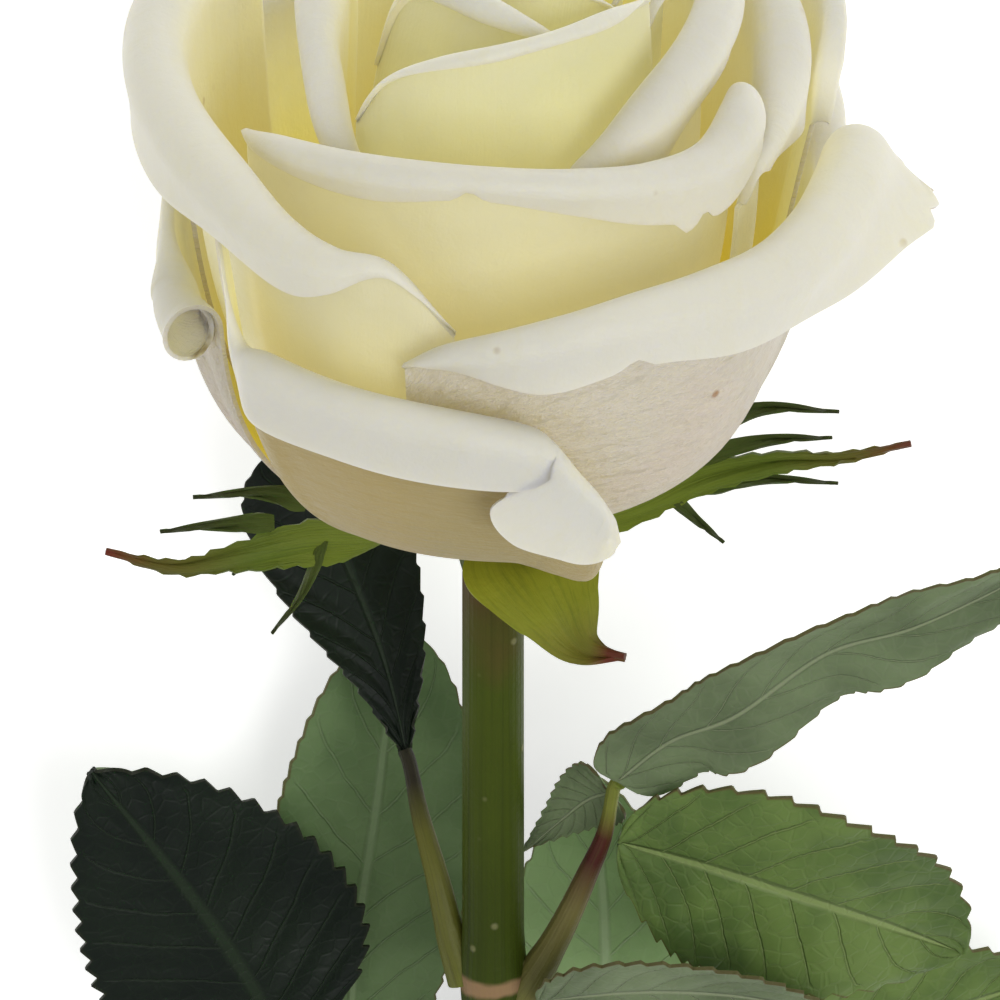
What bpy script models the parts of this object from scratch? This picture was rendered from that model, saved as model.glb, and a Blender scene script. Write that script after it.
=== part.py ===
"""A long-stemmed white rose, cut, lying on a flat surface on its lower petals, its leaves and its cut end.

The tables are in millimetres and degrees. The stem runs along +Y to the bloom and +Z is up. Points of the
bloom are given as (x, front, height): x to the right, front up from the surface, and height along the
flower's axis from the place where the petals are attached. A turn is the angle round the axis, 0 at the front
and positive to the right.
"""

import math
from typing import NamedTuple

import bpy
import numpy as np
from mathutils import Matrix

MM = 0.001

# Whole rose.
STEM_LENGTH = 338.0
AXIS_HEIGHT = 30.5  # of the petals' attachment above the surface
STEM_RADIUS_TOP = 2.85
STEM_RADIUS_CUT = 3.6
STEM_RISE = math.degrees(math.asin((AXIS_HEIGHT - STEM_RADIUS_CUT) / STEM_LENGTH))

# Thicknesses.
PETAL_THICK = 0.7
SEPAL_THICK = 0.7
LEAF_THICK = 0.6
BUD_THICK = 0.5
GAP = 0.6  # between a prickle and the stem's skin

# Where the petals are attached: layer 0 is the outermost.
BASE_RADIUS = 7.4
BASE_LIFT = 2.0
BASE_STEP_IN = 0.38
BASE_STEP_UP = 1.15
BASE_SLOPE = 10.0  # degrees above level at which the outermost petal leaves its base
BASE_SLOPE_STEP = 6.0
BASE_SLOPE_MOST = 80.0

BODY_ROWS = 5
ROLL_ROWS = 4
COLUMN_SPAN = 14.0  # degrees of turn that one column of a petal's mesh covers, at most
LEAST_COLUMNS = 6


BODY_FULLNESS = 0.45  # length of the Bezier handles that round a petal's body, as a part of its length
LEAST_ROLL = 0.3
SHIFT_HEIGHT = 50.0  # height at which a petal's shift is whole

# The bud: petals wound round each other, each a turn on from the last and a little further in.
# Each pair is for the outermost and the innermost.
BUD_COUNT = 6
BUD_TURN = 137.5
BUD_FIRST_TURN = -150.0
BUD_LAYERS = (9.2, 15.2)
BUD_RADII = (8.3, 2.6)
BUD_HEIGHTS = (55.5, 57.5)
BUD_HALF_WIDTHS = (62.0, 80.0)
BUD_ROLLS = (0.5, 0.35)
BUD_DROP = 3.5  # fall of a bud petal's rim from its middle to its sides
BUD_LEAN = 94.0
BUD_SHIFT = 5.5

# The stem and the receptacle: heights along the axis, each with its radius. A leaf node swells a little.
STEM_PROFILE = (
    (-STEM_LENGTH, STEM_RADIUS_CUT),
    (-250, 3.4),
    (-180, 3.2),
    (-100, 3.05),
    (-97, 3.4),
    (-92, 3.1),
    (-89, 3.4),
    (-84, 3.0),
    (-50, 2.95),
    (-46.5, 3.2),
    (-42, 2.9),
    (-5.0, STEM_RADIUS_TOP),
)
RECEPTACLE_PROFILE = (
    (-4.7, 2.85),
    (-3.0, 3.3),
    (-1.4, 4.4),
    (0.0, 5.1),
    (1.2, 5.4),
    (2.4, 6.0),
    (6.0, 5.0),
    (10.0, 3.7),
    (14.0, 2.4),
    (18.0, 1.1),
)
STEM_SIDES = 16
STALK_SIDES = 8

# Prickles: hooked cones, each at a height along the stem and a turn round it.
PRICKLES = ((-128, -60), (-165, 75), (-206, -20), (-248, 50))
PRICKLE_LENGTH = 4.6
PRICKLE_RADIUS = 1.5
PRICKLE_TIP_RADIUS = 0.12
PRICKLE_HOOK = 2.4  # how far its point leans back towards the cut end
PRICKLE_RINGS = 5

# Leaf-like blades: rows along and columns across, and how their outlines run.
BLADE_ROWS = 7
BLADE_COLUMNS = 4
NARROWEST = 0.06  # half width at a blade's point, as a part of its widest

# Colour and roughness of each kind of piece.
FINISHES = {
    "petal": ((0.86, 0.84, 0.72, 1), 0.5),
    "leaflet": ((0.10, 0.22, 0.07, 1), 0.35),
    "sepal": ((0.25, 0.36, 0.08, 1), 0.5),
    "stalk": ((0.25, 0.36, 0.08, 1), 0.5),
    "stem": ((0.20, 0.28, 0.05, 1), 0.45),
    "receptacle": ((0.22, 0.32, 0.06, 1), 0.45),
    "prickle": ((0.35, 0.22, 0.10, 1), 0.4),
}


class Rim(NamedTuple):
    """One place on a petal's rim: its turn, radius and height, and how the rim rolls outwards there."""

    turn: float
    radius: float
    height: float
    roll: float
    curl: float  # degrees that the rim turns past the top of its roll
    flap: float = 0.0  # how far it then runs on, nearly flat
    slant: float = 0.0  # how far to the right the end of that run lies


class Petal(NamedTuple):
    """A petal: the layer it starts from, the angle at which it meets its rim, and its rim, left to right."""

    layer: float
    lean: float
    rims: tuple
    shift: float = 0.0  # how far to the right its own axis stands at 50 mm up


PETALS = {
    "petal_front_left": Petal(
        0.0,
        80,
        (
            Rim(-55, 30.6, 42.0, 0.3, 0),
            Rim(-51.5, 31.2, 36.8, 0.3, 10),
            Rim(-47.5, 32.0, 32.0, 0.3, 30),
            Rim(-43, 32.6, 28.6, 0.8, 95, 1.4),
            Rim(-37, 33.4, 28.8, 2.0, 108, 4.2),
            Rim(-22, 34.0, 27.8, 2.1, 108, 4.2),
            Rim(-6, 34.2, 26.6, 2.1, 108, 3.6),
            Rim(5, 34.0, 25.0, 1.8, 108, 3.0),
            Rim(9, 34.2, 23.4, 0.9, 108, 1.8, -0.5),
            Rim(10.5, 34.2, 22.4, 0.8, 108, 4.0, -6.5),
            Rim(13, 33.8, 20.2, 0.8, 106, 6.0, -6.0),
            Rim(16, 33.0, 17.8, 0.8, 104, 5.4, -3.0),
            Rim(18.5, 32.0, 15.6, 0.8, 104, 3.8, -1.0),
            Rim(20.5, 30.6, 13.8, 0.6, 90, 1.6),
        ),
    ),
    "petal_left_curl": Petal(
        0.0,
        85,
        (
            Rim(-122, 30.6, 33.0, 0.4, 10),
            Rim(-108, 30.4, 35.0, 0.4, 20),
            Rim(-97, 29.8, 33.5, 0.4, 30),
            Rim(-90, 29.4, 30.8, 0.5, 60, 0.4),
            Rim(-84, 29.4, 28.6, 1.0, 105, 1.8),
            Rim(-79, 29.2, 27.2, 1.8, 200, 0.6),
            Rim(-74, 29.2, 26.6, 2.6, 320),
            Rim(-70, 29.2, 26.2, 2.7, 335),
        ),
    ),
    "petal_front_right": Petal(
        1.0,
        82,
        (
            Rim(-15, 30.2, 29.0, 0.3, 30),
            Rim(-8, 31.5, 31.6, 0.8, 110, 0.6),
            Rim(1, 32.8, 33.6, 1.67, 110, 2.32),
            Rim(10, 33.2, 35, 2.29, 110, 3.26),
            Rim(22, 33.5, 36.4, 2.46, 110, 3.35),
            Rim(35, 33.6, 37.0, 2.46, 110, 3.95),
            Rim(47, 34.5, 38.0, 2.8, 112, 3.6),
            Rim(57, 34.8, 40.0, 3.0, 98, 4.6),
            Rim(66, 34.6, 42.4, 3.2, 80, 5.6),
            Rim(74, 33.8, 43.4, 3.0, 62, 8.2),
            Rim(79, 33.0, 42.0, 2.4, 54, 5.2),
            Rim(88, 31.6, 39.0, 1.6, 20, 2.0),
        ),
    ),
    "petal_under_right": Petal(
        1.6,
        84,
        (
            Rim(96, 30.6, 35.0, 1.0, 60),
            Rim(110, 31.5, 40, 2.11, 110, 1.16),
            Rim(130, 32.8, 43, 2.82, 110, 1.55),
            Rim(153, 33, 42, 2.99, 110, 1.64),
            Rim(173, 32.4, 34.0, 1.6, 110),
        ),
    ),
    "petal_under_left": Petal(
        1.0,
        84,
        (
            Rim(-181, 29.8, 39.0, 1.4, 90),
            Rim(-165, 31.2, 43, 2.11, 110, 1.16),
            Rim(-142, 31.8, 44, 2.64, 110, 1.45),
            Rim(-116, 30.5, 42, 1.9, 110, 1.16),
            Rim(-90, 28.8, 37.5, 1.0, 90),
        ),
    ),
    "petal_left": Petal(
        2.2,
        86,
        (
            Rim(-128, 29.0, 48.0, 2.0, 110),
            Rim(-108, 30, 51, 2.82, 110, 3.05),
            Rim(-88, 30.4, 49.5, 3.17, 110, 3.74),
            Rim(-66, 30.6, 47, 3.08, 110, 3.69),
            Rim(-50, 31, 44.6, 2.73, 110, 3.1),
            Rim(-36, 31.6, 41.4, 2.2, 110, 2.41),
            Rim(-26, 32, 39.8, 1.41, 110, 1.58),
            Rim(-17, 30.6, 38.6, 0.6, 100),
            Rim(-7, 27.8, 31.5, 0.4, 10),
        ),
    ),
    "petal_right_back": Petal(
        2.2,
        77,
        (
            Rim(86, 29.8, 44.0, 0.7, 70),
            Rim(98, 31, 51, 1.14, 110, 1.43),
            Rim(122, 31.2, 52.5, 1.76, 110, 2.17),
            Rim(146, 30.6, 50, 1.76, 110, 2.17),
            Rim(166, 29.2, 43.0, 1.0, 90),
        ),
    ),
    "petal_back": Petal(
        3.2,
        86,
        (
            Rim(148, 25.6, 46.0, 1.2, 90),
            Rim(170, 26.8, 51, 2.02, 110, 1.11),
            Rim(195, 27, 51.5, 2.11, 110, 1.16),
            Rim(222, 26.2, 48.0, 1.4, 100),
        ),
    ),
    "petal_right": Petal(
        3.4,
        88,
        (
            Rim(58, 26.2, 41.0, 0.6, 60),
            Rim(67, 26.8, 43.8, 1.2, 110, 1.4),
            Rim(80, 26.2, 47, 2.0, 110, 2.8),
            Rim(96, 25.8, 51.5, 2.1, 110, 2.8),
            Rim(116, 25.4, 53, 1.8, 110, 2.2),
            Rim(140, 24.8, 48.0, 1.2, 90),
        ),
    ),
    "petal_front": Petal(
        4.4,
        88,
        (
            Rim(-68, 23.8, 43.0, 0.4, 80),
            Rim(-50, 24.4, 45.0, 1.1, 115, 0.8),
            Rim(-24, 25.2, 46.2, 1.4, 115, 1.6),
            Rim(-3, 25.6, 46.4, 1.2, 110, 1.4),
            Rim(16, 26.0, 45.8, 1.4, 115, 1.8),
            Rim(32, 26.2, 45.2, 1.58, 110, 2.87),
            Rim(46, 26.4, 45.8, 2.11, 110, 3.36),
            Rim(58, 26.0, 48.2, 2.4, 110, 2.4),
            Rim(67, 24.5, 47.6, 1.3, 80, 1.3),
            Rim(74, 22.8, 43.0, 0.4, 20),
        ),
    ),
    "petal_inner_right": Petal(
        5.6,
        90,
        (
            Rim(18, 19.4, 42.0, 0.7, 80),
            Rim(28, 19.8, 45, 1.58, 110, 2.07),
            Rim(40, 19.9, 48, 2.02, 110, 2.71),
            Rim(54, 20.2, 51, 2.2, 110, 3.01),
            Rim(74, 20.4, 54, 2.2, 110, 2.81),
            Rim(100, 20.2, 55.5, 1.76, 110, 2.17),
            Rim(124, 18.8, 53.0, 0.9, 90),
        ),
    ),
    "petal_inner_left": Petal(
        5.6,
        90,
        (
            Rim(-128, 17.0, 53.0, 1.2, 100),
            Rim(-104, 15.8, 54.5, 1.9, 110, 2.2),
            Rim(-84, 15.7, 53.0, 2.0, 110, 2.6),
            Rim(-62, 17.2, 49.5, 1.9, 110, 2.4),
            Rim(-46, 18.8, 44.8, 1.5, 110, 1.8),
            Rim(-34, 19.4, 40.0, 0.7, 80),
        ),
    ),
    "petal_inner_back": Petal(
        4.6,
        90,
        (
            Rim(122, 21.0, 50.0, 1.0, 100),
            Rim(145, 21.4, 54, 1.67, 110, 0.92),
            Rim(175, 21.6, 54.5, 1.85, 110, 1.02),
            Rim(205, 21.4, 53, 1.58, 110, 0.87),
            Rim(230, 20.8, 49.0, 1.0, 90),
        ),
    ),
    "petal_heart_front": Petal(
        6.8,
        93,
        (
            Rim(-50, 15.9, 44.5, 0.4, 20),
            Rim(-36, 16.2, 49.6, 0.5, 60),
            Rim(-18, 16.0, 52.4, 0.6, 90),
            Rim(3, 15.4, 53.8, 0.7, 100),
            Rim(25, 14.9, 54.6, 0.7, 100),
            Rim(46, 15.0, 55.2, 0.7, 90),
            Rim(66, 15.4, 54.6, 0.4, 20),
        ),
    ),
    "petal_heart_left": Petal(
        7.8,
        94,
        (
            Rim(-97, 15.6, 45.0, 0.4, 0),
            Rim(-88, 14.4, 51.5, 0.5, 30),
            Rim(-74, 12.8, 55.0, 0.8, 90),
            Rim(-57, 11.4, 56.0, 1.1, 130),
            Rim(-38, 11.0, 55.7, 1.1, 130),
            Rim(-20, 10.9, 54.6, 0.9, 110),
            Rim(-2, 11.0, 52.8, 0.7, 60),
            Rim(14, 11.0, 49.5, 0.4, 0),
        ),
        5.5,
    ),
    "petal_heart_right": Petal(
        7.8,
        93,
        (
            Rim(64, 9.3, 52.0, 0.4, 30),
            Rim(82, 9.8, 55.5, 0.7, 110),
            Rim(102, 10.1, 56.5, 0.8, 120),
            Rim(128, 10.3, 56.5, 0.8, 110),
            Rim(152, 10.3, 54.0, 0.4, 30),
        ),
        5.5,
    ),
    "petal_heart_back": Petal(
        6.8,
        92,
        (
            Rim(142, 14.0, 53.5, 0.6, 40),
            Rim(160, 14.4, 56.5, 1.3, 130),
            Rim(185, 14.4, 57.0, 1.5, 140),
            Rim(215, 14.0, 56.5, 1.2, 130),
            Rim(240, 13.6, 53.5, 0.6, 40),
        ),
        3.0,
    ),
}


class Blade(NamedTuple):
    """A leaf-like blade: its midline, the direction across it, its width, and how far its sides rise."""

    midline: tuple  # (x, front, height) points from its base to its tip
    across: tuple  # the direction across it
    width: float
    fold: float  # rise of its edges above the midline, as a part of the half width
    across_base: tuple = ()  # the direction across it at its base, where it twists
    powers: tuple = (0.6, 0.85)  # how fast a leaflet widens from its base and narrows to its tip


SEPALS = {
    "sepal_left": Blade(
        (
            (-6.2, 1.6, 0.2),
            (-11, 3, -0.4),
            (-17, 5, 0.2),
            (-23, 6.5, -0.4),
            (-29, 7, -1.2),
            (-35.4, 7, 0.4),
        ),
        (-0.2, -0.3, 0.93),
        7.6,
        0.2,
        (0, 1, 0.1),
    ),
    "sepal_front": Blade(
        (
            (2.8, 6.4, 1.2),
            (4.2, 10.5, 0),
            (6, 13.5, -2.4),
            (8.2, 15.4, -5.2),
            (12, 16.8, -5.6),
        ),
        (1, -0.15, 0.35),
        15,
        -0.12,
        (1, -0.2, 0.1),
    ),
    "sepal_right": Blade(
        (
            (6.4, 1, 0.2),
            (12, 1.5, 2),
            (19, 2, 5.4),
            (26, 3, 7.6),
            (32, 3, 8),
            (38.2, 3, 9.4),
        ),
        (-0.2, -0.2, 0.95),
        6.4,
        0.2,
        (-0.1, 0.5, 0.9),
    ),
    "sepal_under_right": Blade(
        (
            (4.2, -5.0, 0.2),
            (10, -10, -0.5),
            (17, -14, -1.5),
            (24, -18, -5),
        ),
        (0.8, 0.8, 0.3),
        6.5,
        0.2,
        (0.7, 0.7, 0),
    ),
    "sepal_under_left": Blade(
        (
            (-3.2, -5.8, 0.2),
            (-5, -12, -0.6),
            (-6, -19, 0.5),
            (-6, -25, 4),
        ),
        (1, -0.4, 0.2),
        6.5,
        0.2,
        (0.9, -0.4, 0),
    ),
}

LEAFLETS = {
    "leaflet_behind_bloom": Blade(
        (
            (-7.8, -8.8, -29.8),
            (-10.3, -13, -20),
            (-14.7, -18, -10),
            (-17.7, -21, -1),
        ),
        (1, -0.35, 0.3),
        15.5,
        0.12,
        powers=(1.25, 0.4),
    ),
    "leaflet_long_right": Blade(
        (
            (11.6, 2.8, -25),
            (16.5, 6, -19.2),
            (22.5, 8, -15.6),
            (30.5, 10, -8.6),
            (38.5, 10.5, -5.8),
            (47, 9, -2),
            (55, 7, 2.5),
        ),
        (-0.35, 0.35, 0.87),
        11,
        0.12,
        powers=(0.22, 0.42),
    ),
    "leaflet_small": Blade(
        (
            (10.6, 1, -27.2),
            (8.6, -0.8, -29),
            (6.2, -2.6, -32),
            (2.9, -5, -36.2),
        ),
        (-0.55, -0.1, 0.8),
        7,
        0.15,
        powers=(0.22, 1),
    ),
    "leaflet_broad_right": Blade(
        (
            (11.8, 1.2, -32.2),
            (22, 3.5, -34.3),
            (33, 2, -39),
            (44, -4, -46.5),
        ),
        (0.2, 0.25, 0.92),
        23,
        0.12,
        powers=(0.5, 0.62),
    ),
    "leaflet_dark_left": Blade(
        (
            (-19.9, -13.4, -61.4),
            (-24.5, -11.5, -51),
            (-30.5, -8.8, -40),
            (-37.6, -6, -28.6),
        ),
        (0.8, -0.1, 0.6),
        26,
        0.1,
        powers=(0.45, 0.8),
    ),
    "leaflet_pale_left": Blade(
        (
            (-14, -16.6, -67),
            (-13, -19, -52),
            (-11, -19.5, -38),
            (-9, -19, -20),
        ),
        (1, -0.1, 0.1),
        20,
        -0.1,
        powers=(0.5, 0.5),
    ),
    "leaflet_outer_left": Blade(
        (
            (-16.5, -15.0, -69),
            (-28, -19, -72),
            (-41, -22.5, -80),
            (-52, -23, -90),
        ),
        (0.4, -0.3, 1),
        22,
        0.12,
    ),
    "leaflet_low_left": Blade(
        (
            (-9.8, -11.5, -80),
            (-19, -17, -89),
            (-30, -20.5, -101),
            (-38, -22, -112),
        ),
        (0.7, -0.4, 0.7),
        19,
        0.12,
    ),
    "leaflet_low_inner_left": Blade(
        (
            (-6.2, -12.0, -78),
            (-1, -17, -72),
            (3, -19.5, -62),
            (5, -20, -52),
        ),
        (1, 0.1, 0.3),
        15,
        -0.1,
    ),
    "leaflet_tip_right": Blade(
        (
            (24.5, -9.5, -61),
            (33, -11, -59),
            (43, -13, -57),
            (54, -16, -55),
        ),
        (0.4, 0.1, 0.9),
        22,
        0.12,
    ),
    "leaflet_front_right": Blade(
        (
            (4.4, 3.6, -47.6),
            (13, 6, -45.2),
            (23, 6.6, -45.6),
            (33, 4, -49.5),
        ),
        (0.1, 0.6, 0.8),
        13,
        0.12,
        powers=(0.5, 0.8),
    ),
    "leaflet_pale_right": Blade(
        (
            (12.5, -8.5, -72),
            (11, -14, -60),
            (10.5, -17, -47),
            (9.5, -17, -34),
        ),
        (1, 0.1, -0.1),
        21,
        -0.1,
    ),
    "leaflet_outer_right": Blade(
        (
            (12.5, -7, -83),
            (24, -12, -86),
            (37, -17, -92),
            (49, -20, -101),
        ),
        (0.3, 0.3, 1),
        20,
        0.12,
        powers=(0.8, 0.85),
    ),
    "leaflet_low_right": Blade(
        (
            (8, -7.5, -90),
            (14, -14, -101),
            (21, -18.5, -112),
            (26, -19.5, -123),
        ),
        (1, -0.2, 0.3),
        16,
        0.12,
        powers=(0.8, 0.85),
    ),
}


class Stalk(NamedTuple):
    """A leaf stalk: its points from the stem outwards and its radius at each end."""

    points: tuple
    radius_start: float
    radius_end: float


STALKS = {
    "stalk_upper_left": Stalk(
        (
            (-4.7, -1.2, -44.5),
            (-5.2, -2.5, -39),
            (-6.8, -5.5, -33),
            (-7.7, -8.0, -29.4),
        ),
        1.3,
        0.8,
    ),
    "stalk_upper_right": Stalk(
        (
            (4.2, 0.6, -46.5),
            (6.4, 1.0, -41.5),
            (8.8, 1.2, -35.6),
            (10.4, 1.8, -31.0),
            (11.0, 2.4, -27.0),
        ),
        1.4,
        0.7,
    ),
    "stalk_lower_left": Stalk(
        (
            (-3.0, -3.6, -88),
            (-7, -9.5, -80),
            (-12.5, -13.5, -71.5),
            (-16.5, -14, -66.5),
            (-19.4, -13.6, -62.8),
        ),
        1.5,
        0.8,
    ),
    "stalk_lower_right": Stalk(
        (
            (3.8, -2.4, -97),
            (8.2, -5.5, -87.5),
            (13.5, -6.5, -74),
            (19, -8, -66),
            (24.0, -9.4, -61.6),
        ),
        1.5,
        0.8,
    ),
}


def lay_axes():
    """The unit vectors of the flower's frame as it lies: right, front and up its axis."""
    rise = math.radians(STEM_RISE)
    right = np.array([1.0, 0.0, 0.0])
    along = np.array([0.0, math.cos(rise), math.sin(rise)])
    return right, np.cross(right, along), along


def to_world(points):
    """Points (x, front, height) of the flower's frame in metres of the world."""
    right, front, along = lay_axes()
    flower = np.asarray(points, float)
    base = np.array([0.0, 0.0, AXIS_HEIGHT])
    return (base + flower @ np.stack([right, front, along])) * MM


def smooth_rows(rows, places):
    """A smooth curve through the rows, read at the places, which count from 0 at the first row."""
    rows = np.asarray(rows, float)
    ends = np.vstack([2 * rows[0] - rows[1], rows, 2 * rows[-1] - rows[-2]])
    index = np.clip(np.floor(places).astype(int), 0, len(rows) - 2)
    t = (places - index)[:, None]
    before, start, end, after = (ends[index + k] for k in range(4))
    slope_in = (end - before) / 2
    slope_out = (after - start) / 2
    bend = 3 * (end - start) - 2 * slope_in - slope_out
    twist = 2 * (start - end) + slope_in + slope_out
    return start + t * (slope_in + t * (bend + t * twist))


def heading(degrees):
    """The direction (outwards, up) at an angle above level."""
    return np.array([math.cos(math.radians(degrees)), math.sin(math.radians(degrees))])


def petal_profile(petal, radius, height, roll, curl, flap):
    """The points (radius, height) up one line of a petal, from its base over its roll to the end of its rim."""
    base = np.array([BASE_RADIUS - BASE_STEP_IN * petal.layer, BASE_LIFT + BASE_STEP_UP * petal.layer])
    out, up = heading(petal.lean)
    hub = np.array([radius, height - roll])
    neck = hub + roll * np.array([-up, out])
    reach = BODY_FULLNESS * np.linalg.norm(neck - base)
    slope = min(BASE_SLOPE + BASE_SLOPE_STEP * petal.layer, BASE_SLOPE_MOST)
    handle_low = base + reach * heading(slope)
    handle_high = neck - reach * heading(petal.lean)
    t = np.linspace(0, 1, BODY_ROWS + 1)[:, None]
    body = (
        (1 - t) ** 3 * base
        + 3 * t * (1 - t) ** 2 * handle_low
        + 3 * t**2 * (1 - t) * handle_high
        + t**3 * neck
    )
    arc = roll * math.radians(petal.lean + curl)
    run = np.linspace(0, arc + flap, ROLL_ROWS + 1)[1:, None]
    turns = np.radians(petal.lean) - np.minimum(run, arc) / roll
    rolled = hub + roll * np.hstack([-np.sin(turns), np.cos(turns)])
    return np.vstack([body, rolled + np.maximum(0, run - arc) * heading(-curl)])


def petal_grid(petal):
    """A petal's surface as a grid of points in the flower's frame, column by column from left to right."""
    span = petal.rims[-1].turn - petal.rims[0].turn
    count = max(LEAST_COLUMNS, math.ceil(span / COLUMN_SPAN))
    places = np.linspace(0, len(petal.rims) - 1, count + 1)
    columns = []
    for turn, radius, height, roll, curl, flap, slant in smooth_rows(petal.rims, places):
        profile = petal_profile(petal, radius, height, max(roll, LEAST_ROLL), curl, max(flap, 0))
        climb = (profile[:, 1] - profile[0, 1]) / (SHIFT_HEIGHT - profile[0, 1])
        past = np.maximum(0, np.arange(len(profile)) - BODY_ROWS) / ROLL_ROWS
        x = profile[:, 0] * math.sin(math.radians(turn)) + petal.shift * climb + slant * past**2
        front = profile[:, 0] * math.cos(math.radians(turn))
        columns.append(np.stack([x, front, profile[:, 1]], axis=1))
    return np.array(columns)


def finish(name):
    """A material of the piece's own, of the kind that its name starts with."""
    colour, roughness = FINISHES[name.split("_")[0]]
    material = bpy.data.materials.new(name)
    material.use_nodes = True
    shader = material.node_tree.nodes["Principled BSDF"]
    shader.inputs["Base Color"].default_value = colour
    shader.inputs["Roughness"].default_value = roughness
    shader.inputs["Metallic"].default_value = 0.0
    return material


def add_object(name, points, faces):
    """A mesh object from world points and faces."""
    mesh = bpy.data.meshes.new(name)
    mesh.from_pydata([tuple(p) for p in points], [], faces)
    mesh.materials.append(finish(name))
    mesh.shade_smooth()
    thing = bpy.data.objects.new(name, mesh)
    bpy.context.scene.collection.objects.link(thing)
    return thing


def add_sheet(name, grid, thickness):
    """A thin solid sheet over a grid of flower-frame points."""
    columns, rows = grid.shape[:2]
    points = to_world(grid.reshape(-1, 3))
    points[:, 2] = np.maximum(points[:, 2], thickness / 2 * MM)
    faces = []
    for i in range(columns - 1):
        for j in range(rows - 1):
            first = i * rows + j
            faces.append((first, first + rows, first + rows + 1, first + 1))
    thing = add_object(name, points, faces)
    wall = thing.modifiers.new("Thickness", "SOLIDIFY")
    wall.thickness = thickness * MM
    wall.offset = 0
    return thing


def blend(pair, share):
    """A value between the two of a pair."""
    return pair[0] + (pair[1] - pair[0]) * share


def bud_petal(number):
    """One petal of the bud, counted from the outermost."""
    share = number / (BUD_COUNT - 1)
    middle = BUD_FIRST_TURN + BUD_TURN * number
    half = blend(BUD_HALF_WIDTHS, share)
    radius = blend(BUD_RADII, share)
    height = blend(BUD_HEIGHTS, share)
    roll = blend(BUD_ROLLS, share)
    rims = tuple(
        Rim(middle + side * half, radius, height - BUD_DROP * side**2, roll, 90 - 60 * abs(side))
        for side in (-1, -0.5, 0, 0.5, 1)
    )
    return Petal(blend(BUD_LAYERS, share), BUD_LEAN, rims, BUD_SHIFT)


def build_petals():
    """Every petal of the bloom."""
    for name, petal in PETALS.items():
        add_sheet(name, petal_grid(petal), PETAL_THICK)
    for number in range(BUD_COUNT):
        add_sheet(f"petal_bud_{number + 1}", petal_grid(bud_petal(number)), BUD_THICK)


def leaflet_width(blade, along):
    """A leaflet's half width at a part of its length from its base, as a part of its widest."""
    first, last = blade.powers
    peak = first / (first + last)
    return max(NARROWEST, (along / peak) ** first * ((1 - along) / (1 - peak)) ** last)


def sepal_width(blade, along):
    """A sepal's half width at a part of its length from its base, as a part of its widest."""
    return max(NARROWEST, min(1.0, 0.62 + 3 * along) * (1 - along) ** 1.1)


def blade_grid(blade, width_at):
    """A blade's surface as a grid of points, line by line from its base to its tip."""
    shares = np.linspace(0, 1, BLADE_ROWS + 1)
    middle = smooth_rows(blade.midline, shares * (len(blade.midline) - 1))
    tangents = np.gradient(middle, axis=0)
    lines = []
    for place, tangent, share in zip(middle, tangents, shares):
        tangent = tangent / np.linalg.norm(tangent)
        twist = min(1, 2 * share) if blade.across_base else 1
        across = twist * np.array(blade.across) + (1 - twist) * np.array(blade.across_base or blade.across)
        side = across - np.dot(across, tangent) * tangent
        side /= np.linalg.norm(side)
        rise = np.cross(side, tangent)
        reach = blade.width / 2 * width_at(blade, share)
        offsets = np.linspace(-1, 1, BLADE_COLUMNS + 1)[:, None]
        lines.append(place + reach * (offsets * side + blade.fold * offsets**2 * rise))
    return np.array(lines)


def add_tube(name, points, radii, sides):
    """A closed round stalk along the points."""
    points = np.asarray(points, float)
    tangents = np.gradient(points, axis=0)
    corners = []
    for place, tangent, radius in zip(points, tangents, radii):
        tangent = tangent / np.linalg.norm(tangent)
        side = np.cross(tangent, (0, 1, 0.3))
        side /= np.linalg.norm(side)
        other = np.cross(tangent, side)
        for k in range(sides):
            angle = 2 * math.pi * k / sides
            corners.append(place + radius * (math.cos(angle) * side + math.sin(angle) * other))
    faces = [tuple(range(sides))]
    for ring in range(len(points) - 1):
        for k in range(sides):
            first = ring * sides + k
            second = ring * sides + (k + 1) % sides
            faces.append((first, first + sides, second + sides, second))
    last = (len(points) - 1) * sides
    faces.append(tuple(reversed(range(last, last + sides))))
    return add_object(name, to_world(corners), faces)


def build_green():
    """The sepals, leaf stalks and leaflets."""
    for name, blade in SEPALS.items():
        add_sheet(name, blade_grid(blade, sepal_width), SEPAL_THICK)
    for name, blade in LEAFLETS.items():
        add_sheet(name, blade_grid(blade, leaflet_width), LEAF_THICK)
    for name, stalk in STALKS.items():
        places = np.linspace(0, len(stalk.points) - 1, 3 * len(stalk.points) - 2)
        radii = np.linspace(stalk.radius_start, stalk.radius_end, len(places))
        add_tube(name, smooth_rows(stalk.points, places), radii, STALK_SIDES)


def build_prickles():
    """The prickles, each a hooked cone a hair's breadth off the stem's skin."""
    shares = np.linspace(0, 1, PRICKLE_RINGS)
    radii = PRICKLE_RADIUS * (1 - shares) ** 0.8 + PRICKLE_TIP_RADIUS
    heights, stem_radii = zip(*STEM_PROFILE)
    for number, (height, turn) in enumerate(PRICKLES, 1):
        foot = np.interp(height, heights, stem_radii) + GAP
        points = []
        for share in shares:
            out = foot + PRICKLE_LENGTH * share
            angle = math.radians(turn)
            points.append((out * math.sin(angle), out * math.cos(angle), height - PRICKLE_HOOK * share**2))
        add_tube(f"prickle_{number}", points, radii, STALK_SIDES)


def build_stem():
    """The stem and the receptacle at its top."""
    for name, profile in (("stem", STEM_PROFILE), ("receptacle", RECEPTACLE_PROFILE)):
        points = [(0, 0, height) for height, _ in profile]
        add_tube(name, points, [radius for _, radius in profile], STEM_SIDES)


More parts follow.
